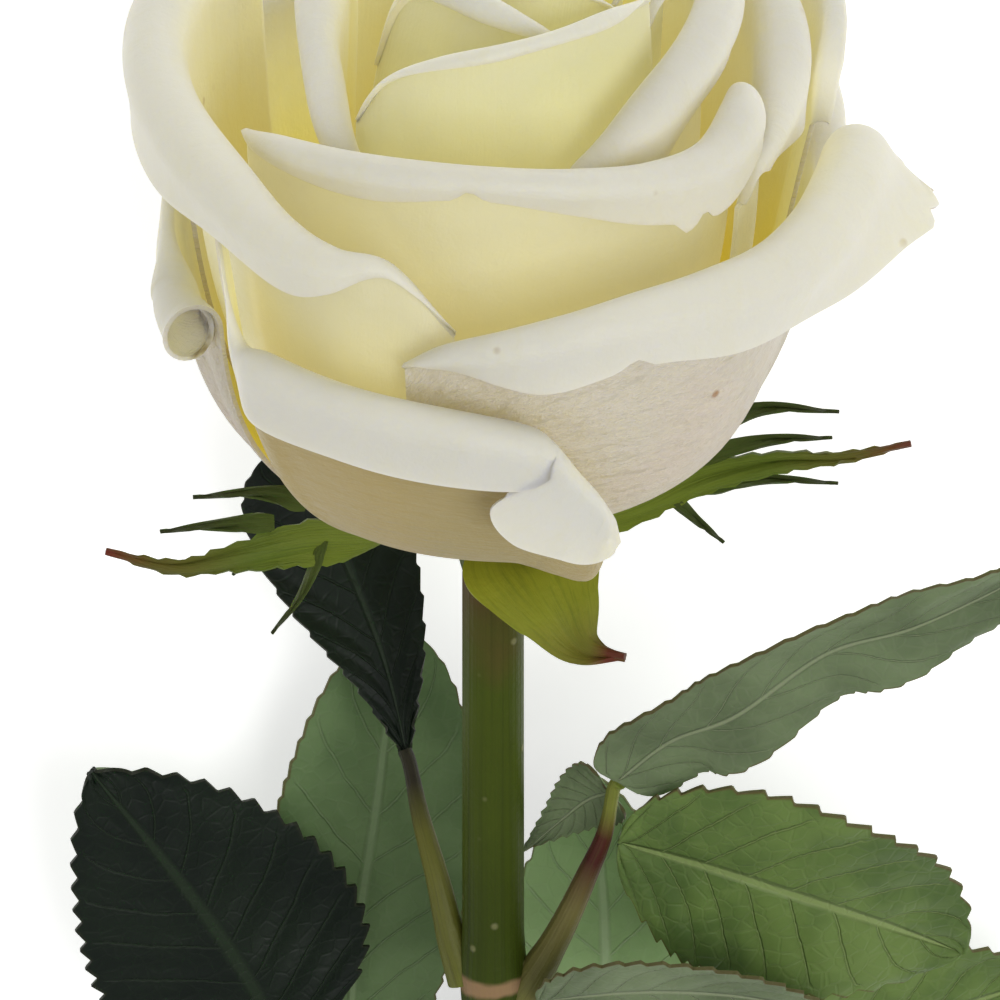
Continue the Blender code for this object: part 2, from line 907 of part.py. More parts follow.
def centre_on_surface():
    """Moves the whole rose so that the middle of its box is over the origin and its lowest point is at 0."""
    graph = bpy.context.evaluated_depsgraph_get()
    corners = []
    for thing in bpy.data.objects:
        corners.extend(thing.evaluated_get(graph).bound_box)
    low, high = np.min(corners, axis=0), np.max(corners, axis=0)
    move = Matrix.Translation((-(low[0] + high[0]) / 2, -(low[1] + high[1]) / 2, -low[2]))
    for thing in bpy.data.objects:
        thing.data.transform(move)


def main():
    for thing in list(bpy.data.objects):
        bpy.data.objects.remove(thing)
    build_petals()
    build_green()
    build_stem()
    build_prickles()
    centre_on_surface()


main()
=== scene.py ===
"""The looks of a cut white rose, lying on a pale surface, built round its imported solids.

The tables are in millimetres and degrees. Points of the plant are given as (x, front, height): x to the right,
front up from the surface, and height along the stem's axis from the place where the petals are attached. A turn
is the angle round that axis, 0 at the front and positive to the right.
"""

import logging
import math
from dataclasses import dataclass, replace
from enum import Enum
from typing import Callable, NamedTuple, Optional, Sequence, Union

import bpy
import numpy as np
from mathutils import Matrix, Vector


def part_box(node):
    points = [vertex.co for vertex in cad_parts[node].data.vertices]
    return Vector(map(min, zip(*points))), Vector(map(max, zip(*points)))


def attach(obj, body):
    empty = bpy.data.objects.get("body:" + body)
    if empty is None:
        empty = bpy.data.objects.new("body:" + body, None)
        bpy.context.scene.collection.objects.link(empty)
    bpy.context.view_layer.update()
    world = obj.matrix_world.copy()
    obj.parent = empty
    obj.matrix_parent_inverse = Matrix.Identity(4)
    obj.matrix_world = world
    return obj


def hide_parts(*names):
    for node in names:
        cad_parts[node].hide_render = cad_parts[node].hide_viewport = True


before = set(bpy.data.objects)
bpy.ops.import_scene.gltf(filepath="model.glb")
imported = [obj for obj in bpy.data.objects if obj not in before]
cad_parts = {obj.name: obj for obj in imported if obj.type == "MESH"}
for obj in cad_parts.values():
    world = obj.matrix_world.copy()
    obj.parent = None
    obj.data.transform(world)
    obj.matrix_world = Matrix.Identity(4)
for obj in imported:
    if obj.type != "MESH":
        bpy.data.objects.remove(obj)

MM = 0.001
Point = tuple[float, float, float]
Colour = tuple[float, float, float]
LOG = logging.getLogger("rose")


# ---- Places and smooth lines ----


@dataclass(frozen=True)
class PlantAxes:
    """Where the plant lies: the point that the petals grow from and the plant's own axes, in metres of the world."""

    origin: np.ndarray
    right: np.ndarray
    front: np.ndarray
    along: np.ndarray

    @classmethod
    def of_stem(cls, length: float = 338.0, top: float = 5.0, cut_radius: float = 3.6, top_radius: float = 2.85,
                rise_height: float = 30.5) -> "PlantAxes":
        """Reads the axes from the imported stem.

        Args:
            length: of the stem below the petals' attachment.
            top: how far below that attachment the stem's solid ends.
            cut_radius: at the stem's cut end.
            top_radius: at the stem's top.
            rise_height: of the attachment above the surface.

        Returns:
            The axes.
        """
        rise = math.asin((rise_height - cut_radius) / length)
        sine, cosine = math.sin(rise), math.cos(rise)
        low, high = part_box("stem")
        origin = np.array([
            (low.x + high.x) / 2,
            high.y + (top * cosine - top_radius * sine) * MM,
            high.z + (top * sine - top_radius * cosine) * MM,
        ])
        right = np.array([1.0, 0.0, 0.0])
        along = np.array([0.0, cosine, sine])
        return cls(origin, right, np.cross(right, along), along)

    def place(self, points: np.ndarray) -> np.ndarray:
        """Turns points (x, front, height) in millimetres into metres of the world."""
        return self.origin + (np.asarray(points, float) @ np.stack([self.right, self.front, self.along])) * MM


AXES = PlantAxes.of_stem()


def smooth_line(rows: Sequence, places: np.ndarray) -> np.ndarray:
    """Reads a smooth curve through some rows of numbers.

    Args:
        rows: the rows that the curve passes through.
        places: where to read it, counted from 0 at the first row.

    Returns:
        One row of numbers for each place.
    """
    given = np.asarray(rows, float)
    ends = np.vstack([2 * given[0] - given[1], given, 2 * given[-1] - given[-2]])
    index = np.clip(np.floor(places).astype(int), 0, len(given) - 2)
    t = (places - index)[:, None]
    before, start, end, after = (ends[index + k] for k in range(4))
    slope_in = (end - before) / 2
    slope_out = (after - start) / 2
    bend = 3 * (end - start) - 2 * slope_in - slope_out
    twist = 2 * (start - end) + slope_in + slope_out
    return start + t * (slope_in + t * (bend + t * twist))


def unit(rows: np.ndarray) -> np.ndarray:
    """Gives each row the length 1."""
    return rows / np.linalg.norm(rows, axis=1)[:, None]


def heading(line: Sequence[Point], places: np.ndarray, step: float) -> np.ndarray:
    """The direction in which a smooth line runs.

    Args:
        line: the points that it passes through.
        places: where to read it, counted from 0 at the first point.
        step: how far before and after each place it is measured.

    Returns:
        A direction of length 1 for each place.
    """
    last = len(line) - 1
    ahead, behind = (smooth_line(line, np.clip(places + side * step, 0, last)) for side in (1, -1))
    return unit(ahead - behind)


def soft_step(low: float, high: float, value: np.ndarray) -> np.ndarray:
    """Rises smoothly from 0 at low to 1 at high."""
    share = np.clip((np.asarray(value, float) - low) / (high - low), 0, 1)
    return share * share * (3 - 2 * share)


def ripples(across: np.ndarray, up: np.ndarray, seed: int, count: int = 6, reach: float = 3.0) -> np.ndarray:
    """A gentle uneven surface between about -1 and 1.

    Args:
        across: the place across the surface, 0 to 1.
        up: the place up it, 0 to 1.
        seed: picks the waves.
        count: how many waves are added.
        reach: how many waves fit across at most.

    Returns:
        The height at each place.
    """
    chance = np.random.default_rng(seed)
    total = np.zeros(np.broadcast(across, up).shape)
    for _ in range(count):
        wide, tall = chance.uniform(0.6, reach), chance.uniform(0.2, 1.6)
        start = chance.uniform(0, 2 * math.pi)
        total = total + np.sin(2 * math.pi * (wide * across + tall * up) + start)
    return total / math.sqrt(count) / 1.4


# ---- Modelling ----


def deselect() -> None:
    """Leaves nothing selected, so that an operator acts on the new piece alone."""
    bpy.ops.object.select_all(action="DESELECT")


def pick(thing: bpy.types.Object) -> None:
    """Makes one object the selected and active one."""
    deselect()
    thing.select_set(True)
    bpy.context.view_layer.objects.active = thing


def apply_modifiers(thing: bpy.types.Object) -> None:
    """Applies every modifier of an object, in order."""
    pick(thing)
    for modifier in list(thing.modifiers):
        bpy.ops.object.modifier_apply(modifier=modifier.name)


def smooth_shading(thing: bpy.types.Object, sharp: float = 50.0) -> None:
    """Shades an object smooth, except over edges sharper than an angle in degrees."""
    pick(thing)
    bpy.ops.object.shade_smooth_by_angle(angle=math.radians(sharp))


def grid(name: str, columns: int, rows: int) -> tuple[bpy.types.Object, np.ndarray, np.ndarray]:
    """Adds a flat grid to be shaped.

    Args:
        name: the new piece's name.
        columns: how many squares it has across.
        rows: how many it has up.

    Returns:
        The piece, and the place of each of its points across and up, each 0 to 1.
    """
    deselect()
    bpy.ops.mesh.primitive_grid_add(x_subdivisions=columns, y_subdivisions=rows, size=1)
    thing = bpy.context.object
    thing.name = thing.data.name = name
    flat = np.empty(len(thing.data.vertices) * 3)
    thing.data.vertices.foreach_get("co", flat)
    across, up = flat.reshape(-1, 3)[:, :2].T + 0.5
    return thing, across, up


def put_points(thing: bpy.types.Object, points: np.ndarray) -> None:
    """Moves a piece's points to places in metres of the world."""
    thing.data.vertices.foreach_set("co", points.ravel())
    thing.data.update()


def add_slots(thing: bpy.types.Object) -> None:
    """Gives a piece two material slots, which its faces can tell apart before its materials are made."""
    for _ in range(2):
        thing.data.materials.append(None)


Surface = Callable[[np.ndarray, np.ndarray], np.ndarray]


@dataclass(frozen=True)
class Sheet:
    """A thin sheet such as a petal or a leaf: a grid laid over a curved surface and given a wall."""

    name: str
    surface: Surface  # points (x, front, height) from the place across and up, each 0 to 1
    columns: int
    rows: int
    thickness: float

    SHARP = 80.0  # degrees from which an edge stays sharp

    def build(self) -> bpy.types.Object:
        """Models the sheet; its second material covers the side that faces the axis, or the underside."""
        thing, across, up = grid(self.name, self.columns, self.rows)
        points = AXES.place(self.surface(across, up))
        points[:, 2] = np.maximum(points[:, 2], self.thickness / 2 * MM)
        put_points(thing, points)
        add_slots(thing)
        wall = thing.modifiers.new("Wall", "SOLIDIFY")
        wall.thickness = self.thickness * MM
        wall.offset = 0
        wall.use_even_offset = False
        wall.material_offset = 1
        wall.material_offset_rim = 0
        apply_modifiers(thing)
        smooth_shading(thing, self.SHARP)
        return thing


@dataclass(frozen=True)
class Tube:
    """A round stalk along a smooth line, closed at both ends."""

    name: str
    line: Sequence[Point]
    radii: Sequence[float]
    sides: int = 32
    rings: int = 60

    ACROSS = (0.0, 1.0, 0.3)  # a direction that no stalk runs along

    def build(self) -> bpy.types.Object:
        """Models the stalk: a grid rolled round the line, its seam welded and its ends filled."""
        thing, around, share = grid(self.name, self.sides, self.rings)
        places = share * (len(self.line) - 1)
        middle = smooth_line(self.line, places)
        tangent = heading(self.line, places, 1e-3)
        side = unit(np.cross(tangent, self.ACROSS))
        other = np.cross(tangent, side)
        spots = np.linspace(0, len(self.line) - 1, len(self.radii))
        radius = np.interp(places, spots, self.radii)
        turn = 2 * math.pi * around
        points = middle + radius[:, None] * (np.cos(turn)[:, None] * side + np.sin(turn)[:, None] * other)
        put_points(thing, AXES.place(points))
        pick(thing)
        bpy.ops.object.mode_set(mode="EDIT")
        bpy.ops.mesh.select_all(action="SELECT")
        bpy.ops.mesh.remove_doubles(threshold=1e-6)
        bpy.ops.mesh.select_all(action="DESELECT")
        bpy.ops.mesh.select_non_manifold(extend=False, use_wire=False, use_multi_face=False, use_verts=False)
        bpy.ops.mesh.fill_holes(sides=0)
        bpy.ops.mesh.select_all(action="SELECT")
        bpy.ops.mesh.normals_make_consistent(inside=False)
        bpy.ops.object.mode_set(mode="OBJECT")
        smooth_shading(thing)
        return thing


def join(pieces: Sequence[bpy.types.Object]) -> bpy.types.Object:
    """Joins some objects into the first."""
    deselect()
    for piece in pieces:
        piece.select_set(True)
    bpy.context.view_layer.objects.active = pieces[0]
    bpy.ops.object.join()
    return pieces[0]


def settle(thing: bpy.types.Object, node: str, finishes: Sequence[bpy.types.Material]) -> None:
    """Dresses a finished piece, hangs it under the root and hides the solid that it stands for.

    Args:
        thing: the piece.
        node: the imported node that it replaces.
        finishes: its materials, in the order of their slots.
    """
    for number, finish in enumerate(finishes):
        if number < len(thing.data.materials):
            thing.data.materials[number] = finish
        else:
            thing.data.materials.append(finish)
    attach(thing, "root")
    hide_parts(node)
    LOG.info("%s: %d faces", thing.name, len(thing.data.polygons))


# ---- Shader maths ----

Number = Union[float, "Value"]


def operator(kind: str, swapped: bool = False) -> Callable[["Value", Number], "Value"]:
    """Makes an operator that adds a Math node.

    Args:
        kind: the node's operation.
        swapped: whether the number on the right comes first.

    Returns:
        The operator, as a method of Value.
    """

    def method(self: "Value", other: Number) -> "Value":
        return self.shader.math(kind, other, self) if swapped else self.shader.math(kind, self, other)

    return method


@dataclass
class Value:
    """A shader's number, on which Python's operators add Math nodes."""

    shader: "Shader"
    socket: bpy.types.NodeSocket

    __add__ = __radd__ = operator("ADD")
    __sub__ = operator("SUBTRACT")
    __rsub__ = operator("SUBTRACT", swapped=True)
    __mul__ = __rmul__ = operator("MULTIPLY")

    def __abs__(self) -> "Value":
        """Drops the sign."""
        return self.shader.math("ABSOLUTE", self)

    def step(self, low: float, high: float) -> "Value":
        """Rises smoothly from 0 at low to 1 at high."""
        node = self.shader.node(
            "ShaderNodeMapRange", {"interpolation_type": "SMOOTHSTEP"},
            {"Value": self, "From Min": low, "From Max": high, "To Min": 0.0, "To Max": 1.0},
        )
        return Value(self.shader, node.outputs["Result"])


class Shader:
    """A material being built round one Principled shader."""

    def __init__(self, name: str) -> None:
        """Starts an empty material of that name."""
        self.material = bpy.data.materials.new(name)
        self.material.use_nodes = True
        self.tree = self.material.node_tree
        self.surface = self.tree.nodes["Principled BSDF"]

    def node(self, kind: str, settings: dict, inputs: dict) -> bpy.types.Node:
        """Adds a node.

        Args:
            kind: its type.
            settings: its properties; "stops" sets a ramp's (place, colour) pairs.
            inputs: socket name or number to a number, a colour, a Value or a socket.

        Returns:
            The node.
        """
        node = self.tree.nodes.new(kind)
        for name, setting in settings.items():
            if name == "stops":
                self._set_stops(node.color_ramp, setting)
            else:
                setattr(node, name, setting)
        for name, given in inputs.items():
            self.feed(node.inputs[name], given)
        return node

    @staticmethod
    def _set_stops(ramp: bpy.types.ColorRamp, stops: Sequence[tuple[float, Colour]]) -> None:
        """Gives a ramp its stops."""
        while len(ramp.elements) > 1:
            ramp.elements.remove(ramp.elements[-1])
        ramp.elements[0].position = stops[0][0]
        ramp.elements[0].color = (*stops[0][1], 1)
        for place, colour in stops[1:]:
            ramp.elements.new(place).color = (*colour, 1)

    def feed(self, socket: bpy.types.NodeSocket, given: object) -> None:
        """Sets a socket's value, or links it."""
        if isinstance(given, Value):
            self.tree.links.new(given.socket, socket)
        elif isinstance(given, bpy.types.NodeSocket):
            self.tree.links.new(given, socket)
        elif socket.type == "RGBA" and not isinstance(given, float) and len(given) == 3:
            socket.default_value = (*given, 1)
        else:
            socket.default_value = given

    def math(self, operation: str, *values: Number) -> Value:
        """One Math node on some values."""
        node = self.node("ShaderNodeMath", {"operation": operation}, dict(enumerate(values)))
        return Value(self, node.outputs[0])

    def uv(self) -> tuple[Value, Value]:
        """The place across and up the piece's own surface, each 0 to 1."""
        place = self.node("ShaderNodeUVMap", {"uv_map": "UVMap"}, {})
        parts = self.node("ShaderNodeSeparateXYZ", {}, {0: place.outputs[0]})
        return Value(self, parts.outputs[0]), Value(self, parts.outputs[1])

    def spot(self) -> bpy.types.NodeSocket:
        """The place in the object, in metres."""
        return self.node("ShaderNodeTexCoord", {}, {}).outputs["Object"]

    def vector(self, x: Number, y: Number) -> bpy.types.NodeSocket:
        """Two numbers as a flat vector."""
        return self.node("ShaderNodeCombineXYZ", {}, {0: x, 1: y}).outputs[0]

    def noise(self, vector: bpy.types.NodeSocket, scale: float, detail: float = 3.0, rough: float = 0.5) -> Value:
        """Soft noise, mostly between 0.3 and 0.7."""
        node = self.node("ShaderNodeTexNoise", {},
                         {"Vector": vector, "Scale": scale, "Detail": detail, "Roughness": rough})
        return Value(self, node.outputs[0])

    def mix(self, share: Number, first: object, second: object, blend: str = "MIX") -> bpy.types.NodeSocket:
        """Mixes two colours."""
        node = self.node("ShaderNodeMix", {"data_type": "RGBA", "blend_type": blend},
                         {0: share, 6: first, 7: second})
        return node.outputs[2]

    def ramp(self, place: Value, stops: Sequence[tuple[float, Colour]]) -> bpy.types.NodeSocket:
        """A colour ramp."""
        node = self.node("ShaderNodeValToRGB", {"stops": stops}, {0: place})
        return node.outputs[0]

    def bump(self, height: Value, depth: float) -> None:
        """Roughens the surface by a height of that depth in metres."""
        node = self.node("ShaderNodeBump", {}, {"Strength": 1.0, "Distance": depth, "Height": height})
        self.feed(self.surface.inputs["Normal"], node.outputs[0])

    def set(self, **inputs: object) -> None:
        """Sets inputs of the Principled shader, by name with _ for a space."""
        for name, given in inputs.items():
            self.feed(self.surface.inputs[name.replace("_", " ")], given)


# ---- Finishes ----

VEIN_PAIRS = 8.0  # of side veins on a leaflet
VEIN_SLANT = 0.23  # how much nearer to the tip a side vein ends than it starts, as a share of the length
NECK = 0.52  # the place up a petal where its body ends and its rolled rim begins


@dataclass(frozen=True)
class PetalFinish:
    """One face of a petal: its colours from its base up, and how its surface is veined and worn."""

    name: str
    base: Colour
    low: Colour
    middle: Colour
    rim: Colour
    flush: Colour = (0.80, 0.66, 0.56)
    flush_share: float = 0.0
    crinkle: float = 0.18
    specks: float = 0.35
    glow: float = 0.10  # painted light: emission that stands in for the light reaching the face through the petals round it
    glow_ends: tuple[float, float] = (0.50, 0.66)  # places up the petal where that light starts to fade and is gone
    worn: float = 0.0  # browning along the rim's edge

    def make(self) -> bpy.types.Material:
        """Builds the material."""
        shader = Shader(self.name)
        across, up = shader.uv()
        spot = shader.spot()
        drift = shader.noise(spot, 90.0, 3.0)
        place = up + (drift - 0.5) * 0.16
        colour = shader.ramp(place, (
            (0.0, self.base), (0.26, self.low), (0.48, self.middle), (0.66, self.rim), (1.0, self.rim)))
        bend = shader.noise(spot, 130.0, 2.0) * 1.6
        veins = shader.noise(shader.vector(across * 30.0 + bend, up * 3.0), 1.0, 4.0, 0.62)
        colour = shader.mix((veins - 0.5) * 0.35, colour, self.low)
        if self.flush_share:
            patch = shader.noise(spot, 55.0, 4.0).step(0.42, 0.68) * self.flush_share
            colour = shader.mix(patch, colour, self.flush)
        if self.specks:
            dots = shader.node("ShaderNodeTexVoronoi", {"feature": "F1"}, {"Vector": spot, "Scale": 210.0})
            mark = 1.0 - Value(shader, dots.outputs["Distance"]).step(0.05, 0.13)
            rare = shader.noise(spot, 120.0, 1.0).step(0.60, 0.66)
            colour = shader.mix(mark * rare * self.specks, colour, (0.30, 0.14, 0.05))
        if self.worn:
            scorch = shader.noise(spot, 420.0, 3.0).step(0.36, 0.60) * up.step(0.93, 0.975)
            colour = shader.mix(scorch * across.step(0.80, 0.88) * self.worn, colour, (0.17, 0.12, 0.03))
        fine = shader.noise(spot, 2600.0, 2.0)
        height = veins * 0.22 + fine * 0.10 + drift * 1.4
        if self.crinkle:
            folds = shader.noise(shader.vector(across * 16.0 + up * 9.0, up * 52.0 - across * 10.0), 1.0, 4.0, 0.62)
            height = height + folds * self.crinkle * (1.0 - up.step(0.44, 0.56) * 0.85)
        shader.bump(height, 0.00042)
        # Painted light: the face emits its own colour, fading out between glow_ends, in place of light shining
        # through the petals round it.
        shader.set(Base_Color=colour, Roughness=0.52 + (fine - 0.5) * 0.1, Specular_IOR_Level=0.32,
                   Subsurface_Weight=0.55, Subsurface_Radius=(1.0, 0.86, 0.42), Subsurface_Scale=0.0035,
                   Sheen_Weight=0.12, Sheen_Roughness=0.4,
                   Emission_Color=shader.mix(place.step(*self.glow_ends), colour, (0.0, 0.0, 0.0)),
                   Emission_Strength=self.glow)
        return shader.material


@dataclass(frozen=True)
class LeafFinish:
    """One face of a leaf: its colour between and along its veins, its gloss and how deep the veins lie."""

    name: str
    flesh: Colour
    shade: Colour
    vein: Colour
    roughness: float
    vein_depth: float
    margin: Colour = (0.10, 0.055, 0.02)

    def make(self) -> bpy.types.Material:
        """Builds the material."""
        shader = Shader(self.name)
        across, up = shader.uv()
        spot = shader.spot()
        out = abs(across * 2.0 - 1.0)
        drift = (shader.noise(spot, 160.0, 2.0) - 0.5) * 0.10
        rib = 1.0 - out.step(0.02, 0.075)
        run = (up + drift * 0.4 - out * VEIN_SLANT) * VEIN_PAIRS
        side = abs(shader.math("FRACT", run) - 0.5) * 2.0
        side_vein = side.step(0.90, 0.985) * (1.0 - out.step(0.75, 0.98))
        net = shader.node("ShaderNodeTexVoronoi", {"feature": "DISTANCE_TO_EDGE"},
                          {"Vector": spot, "Scale": 620.0})
        mesh = 1.0 - Value(shader, net.outputs["Distance"]).step(0.01, 0.12)
        patch = shader.noise(spot, 110.0, 4.0).step(0.35, 0.68)
        colour = shader.mix(patch, self.flesh, self.shade)
        colour = shader.mix(mesh * 0.08, colour, self.vein)
        lines = shader.math("MAXIMUM", rib, side_vein * 0.62)
        colour = shader.mix(lines * 0.8, colour, self.vein)
        colour = shader.mix(out.step(0.965, 0.995) * 0.7, colour, self.margin)
        fine = shader.noise(spot, 1500.0, 3.0)
        height = (lines * -1.0 - mesh * 0.12) * self.vein_depth + fine * 0.08
        shader.bump(height, 0.00035)
        shader.set(Base_Color=colour, Roughness=self.roughness + (fine - 0.5) * 0.16 + patch * 0.05,
                   Specular_IOR_Level=0.18,
                   Subsurface_Weight=0.12, Subsurface_Radius=(0.5, 1.0, 0.25), Subsurface_Scale=0.001)
        return shader.material


@dataclass(frozen=True)
class StalkFinish:
    """The skin of a stem, stalk, sepal or prickle: its colour along its length and a fine grain that follows it."""

    name: str
    stops: tuple[tuple[float, Colour], ...]  # (share of the length, colour)
    streak: Colour
    roughness: float = 0.42
    grain: float = 60.0
    dots: float = 0.0
    shine: float = 0.22
    scars: tuple[float, ...] = ()  # shares of the length where a leaf's scar rings it

    def make(self) -> bpy.types.Material:
        """Builds the material."""
        shader = Shader(self.name)
        across, up = shader.uv()
        spot = shader.spot()
        colour = shader.ramp(up + (shader.noise(spot, 140.0, 2.0) - 0.5) * 0.06, self.stops)
        streaks = shader.noise(shader.vector(across * self.grain, up * self.grain * 0.12), 1.0, 4.0, 0.6)
        colour = shader.mix(streaks.step(0.45, 0.75) * 0.55, colour, self.streak)
        patch = shader.noise(spot, 75.0, 3.0).step(0.40, 0.70)
        colour = shader.mix(patch * 0.25, colour, self.streak)
        for place in self.scars:
            ring = 1.0 - abs(up - place + (shader.noise(spot, 260.0, 2.0) - 0.5) * 0.006).step(0.0012, 0.0034)
            colour = shader.mix(ring * 0.75, colour, (0.36, 0.22, 0.12))
        fine = shader.noise(spot, 1900.0, 3.0)
        height = streaks * 0.7 + fine * 0.3
        if self.dots:
            cells = shader.node("ShaderNodeTexVoronoi", {"feature": "F1"}, {"Vector": spot, "Scale": 330.0})
            pores = 1.0 - Value(shader, cells.outputs["Distance"]).step(0.05, 0.16)
            colour = shader.mix(pores * self.dots, colour, (0.42, 0.40, 0.20))
            height = height + pores * 0.5
        shader.bump(height, 0.00022)
        shader.set(Base_Color=colour, Roughness=self.roughness + (fine - 0.5) * 0.16, Specular_IOR_Level=self.shine,
                   Subsurface_Weight=0.10, Subsurface_Radius=(0.5, 1.0, 0.2), Subsurface_Scale=0.001)
        return shader.material


@dataclass(frozen=True)
class PlainFinish:
    """A pale painted surface, faintly mottled, for the floor."""

    name: str
    colour: Colour
    roughness: float
    glow: float = 0.0

    def make(self) -> bpy.types.Material:
        """Builds the material."""
        shader = Shader(self.name)
        cloud = shader.noise(shader.spot(), 4.0, 2.0)
        colour = shader.mix(cloud * 0.06, self.colour, tuple(part * 0.96 for part in self.colour))
        shader.set(Base_Color=colour, Roughness=self.roughness, Emission_Color=(1.0, 1.0, 1.0),
                   Emission_Strength=self.glow)
        return shader.material


WHITE = (0.83, 0.785, 0.62)
CREAM = (0.76, 0.70, 0.42)
BUTTER = (0.72, 0.59, 0.09)
GOLD = (0.62, 0.47, 0.010)


class Face(Enum):
    """The faces that a petal can show."""

    INNER = PetalFinish("petal_inner_face", GOLD, BUTTER, CREAM, WHITE, glow=0.17)
    OUTER = PetalFinish("petal_outer_face", (0.60, 0.48, 0.05), (0.55, 0.50, 0.23), (0.53, 0.50, 0.33),
                        (0.72, 0.69, 0.55), glow=0.40, glow_ends=(0.26, 0.85))
    HEART_INNER = PetalFinish("heart_inner_face", (0.62, 0.48, 0.004), (0.68, 0.56, 0.04), (0.74, 0.68, 0.30),
                              (0.80, 0.77, 0.62), glow=0.24, specks=0.0)
    HEART_OUTER = PetalFinish("heart_outer_face", (0.60, 0.50, 0.03), (0.60, 0.56, 0.24), (0.62, 0.60, 0.36),
                              (0.76, 0.73, 0.60), glow=0.33, glow_ends=(0.30, 0.62), specks=0.0)
    GUARD = PetalFinish("guard_outer_face", (0.56, 0.51, 0.30), (0.66, 0.59, 0.47), (0.69, 0.63, 0.53),
                        (0.78, 0.74, 0.62), flush=(0.70, 0.56, 0.48), flush_share=0.40, crinkle=4.0, specks=0.8,
                        glow=0.0, worn=0.8)
    GUARD_INNER = PetalFinish("guard_inner_face", GOLD, BUTTER, CREAM, WHITE, glow=0.16, worn=0.8)
    # Painted shade: a darker copy of the guard's outer face, for the front-left guard petal, whose outer side lies
    # in shade under its rolled rim; its rim stays pale.
    GUARD_PAINTED_SHADE = PetalFinish("guard_painted_shade_face", (0.30, 0.24, 0.08), (0.35, 0.28, 0.12), (0.37, 0.30, 0.145),
                            (0.74, 0.69, 0.56), flush=(0.43, 0.33, 0.18), flush_share=0.4, crinkle=0.8, specks=0.6,
                            glow=0.0)


class Green(Enum):
    """The green finishes."""

    DARK = LeafFinish("leaf_dark_top", (0.007, 0.013, 0.007), (0.004, 0.008, 0.005), (0.016, 0.028, 0.013), 0.46,
                      0.6, margin=(0.02, 0.022, 0.012))
    MIDDLE = LeafFinish("leaf_middle_top", (0.140, 0.210, 0.054), (0.075, 0.125, 0.032), (0.24, 0.31, 0.11), 0.45,
                        1.0)
    PALE_TOP = LeafFinish("leaf_young_top", (0.165, 0.215, 0.110), (0.105, 0.140, 0.070), (0.25, 0.29, 0.17), 0.5,
                          0.6)
    UNDER = LeafFinish("leaf_underside", (0.140, 0.210, 0.090), (0.100, 0.158, 0.064), (0.20, 0.27, 0.14), 0.6,
                       -0.7)
    # Painted light: a lighter copy of the underside for the pale right leaflet, which lies in shade.
    UNDER_LIT = LeafFinish("leaf_lit_underside", (0.31, 0.45, 0.20), (0.24, 0.36, 0.15), (0.38, 0.48, 0.28), 0.6,
                            -0.6)
    SEPAL = StalkFinish("sepal_skin", ((0.0, (0.20, 0.25, 0.020)), (0.55, (0.115, 0.160, 0.014)),
                                       (0.86, (0.12, 0.10, 0.014)), (1.0, (0.17, 0.012, 0.012))),
                        (0.050, 0.085, 0.008), 0.5, 26.0)
    HOOD = StalkFinish("sepal_hood_skin", ((0.0, (0.31, 0.32, 0.022)), (0.5, (0.25, 0.27, 0.02)),
                                           (0.80, (0.16, 0.14, 0.02)), (0.90, (0.12, 0.012, 0.012)),
                                           (1.0, (0.10, 0.008, 0.01))), (0.12, 0.15, 0.012), 0.5, 20.0)
    LOBE = StalkFinish("sepal_lobe_skin", ((0.0, (0.075, 0.105, 0.014)), (1.0, (0.035, 0.042, 0.010))),
                       (0.030, 0.045, 0.009), 0.5, 26.0)
    STEM = StalkFinish("stem_skin", ((0.0, (0.050, 0.056, 0.010)), (0.5, (0.038, 0.050, 0.006)),
                                     (0.86, (0.040, 0.060, 0.005)), (0.97, (0.060, 0.084, 0.007)),
                                     (1.0, (0.10, 0.06, 0.02))),
                       (0.022, 0.031, 0.005), 0.42, 34.0, 0.3, shine=0.10, scars=(0.7245, 0.7495, 0.874))
    HIP = StalkFinish("receptacle_skin", ((0.0, (0.070, 0.095, 0.012)), (1.0, (0.20, 0.22, 0.05))),
                      (0.05, 0.07, 0.010), 0.42, 20.0)
    STALK = StalkFinish("leaf_stalk_skin", ((0.0, (0.13, 0.13, 0.03)), (0.40, (0.15, 0.13, 0.04)),
                                            (0.56, (0.06, 0.012, 0.008)), (0.66, (0.07, 0.014, 0.008)),
                                            (0.76, (0.20, 0.22, 0.035)), (1.0, (0.18, 0.22, 0.035))),
                        (0.07, 0.06, 0.015), 0.45, 22.0)
    STALK_DARK = StalkFinish("leaf_stalk_dark_skin", ((0.0, (0.14, 0.15, 0.02)), (0.55, (0.12, 0.12, 0.02)),
                                                      (0.72, (0.02, 0.015, 0.010)), (1.0, (0.012, 0.012, 0.008))),
                             (0.05, 0.05, 0.010), 0.45, 22.0)
    PRICKLE = StalkFinish("prickle_skin", ((0.0, (0.20, 0.14, 0.04)), (0.6, (0.22, 0.07, 0.03)),
                                           (1.0, (0.09, 0.03, 0.015))), (0.12, 0.04, 0.02), 0.35, 18.0)
    PITH = StalkFinish("cut_pith", ((0.0, (0.36, 0.38, 0.16)), (1.0, (0.30, 0.28, 0.12))), (0.20, 0.18, 0.08),
                       0.6, 30.0)


class Wardrobe:
    """Makes each material once, when it is first asked for."""

    def __init__(self) -> None:
        """Starts empty."""
        self._made: dict[str, bpy.types.Material] = {}

    def of(self, finish: Union[Face, Green]) -> bpy.types.Material:
        """The material of a finish."""
        if finish.value.name not in self._made:
            self._made[finish.value.name] = finish.value.make()
        return self._made[finish.value.name]


# ---- The bloom ----


class Rim(NamedTuple):
    """One place on a petal's rim: where the top of its roll is, and how the rim rolls outwards there."""

    turn: float
    radius: float
    height: float
    roll: float
    curl: float  # degrees that the rim turns past the top of its roll
    flap: float = 0.0  # how far it then runs on, nearly flat
    slant: float = 0.0  # how far to the right the end of that run lies


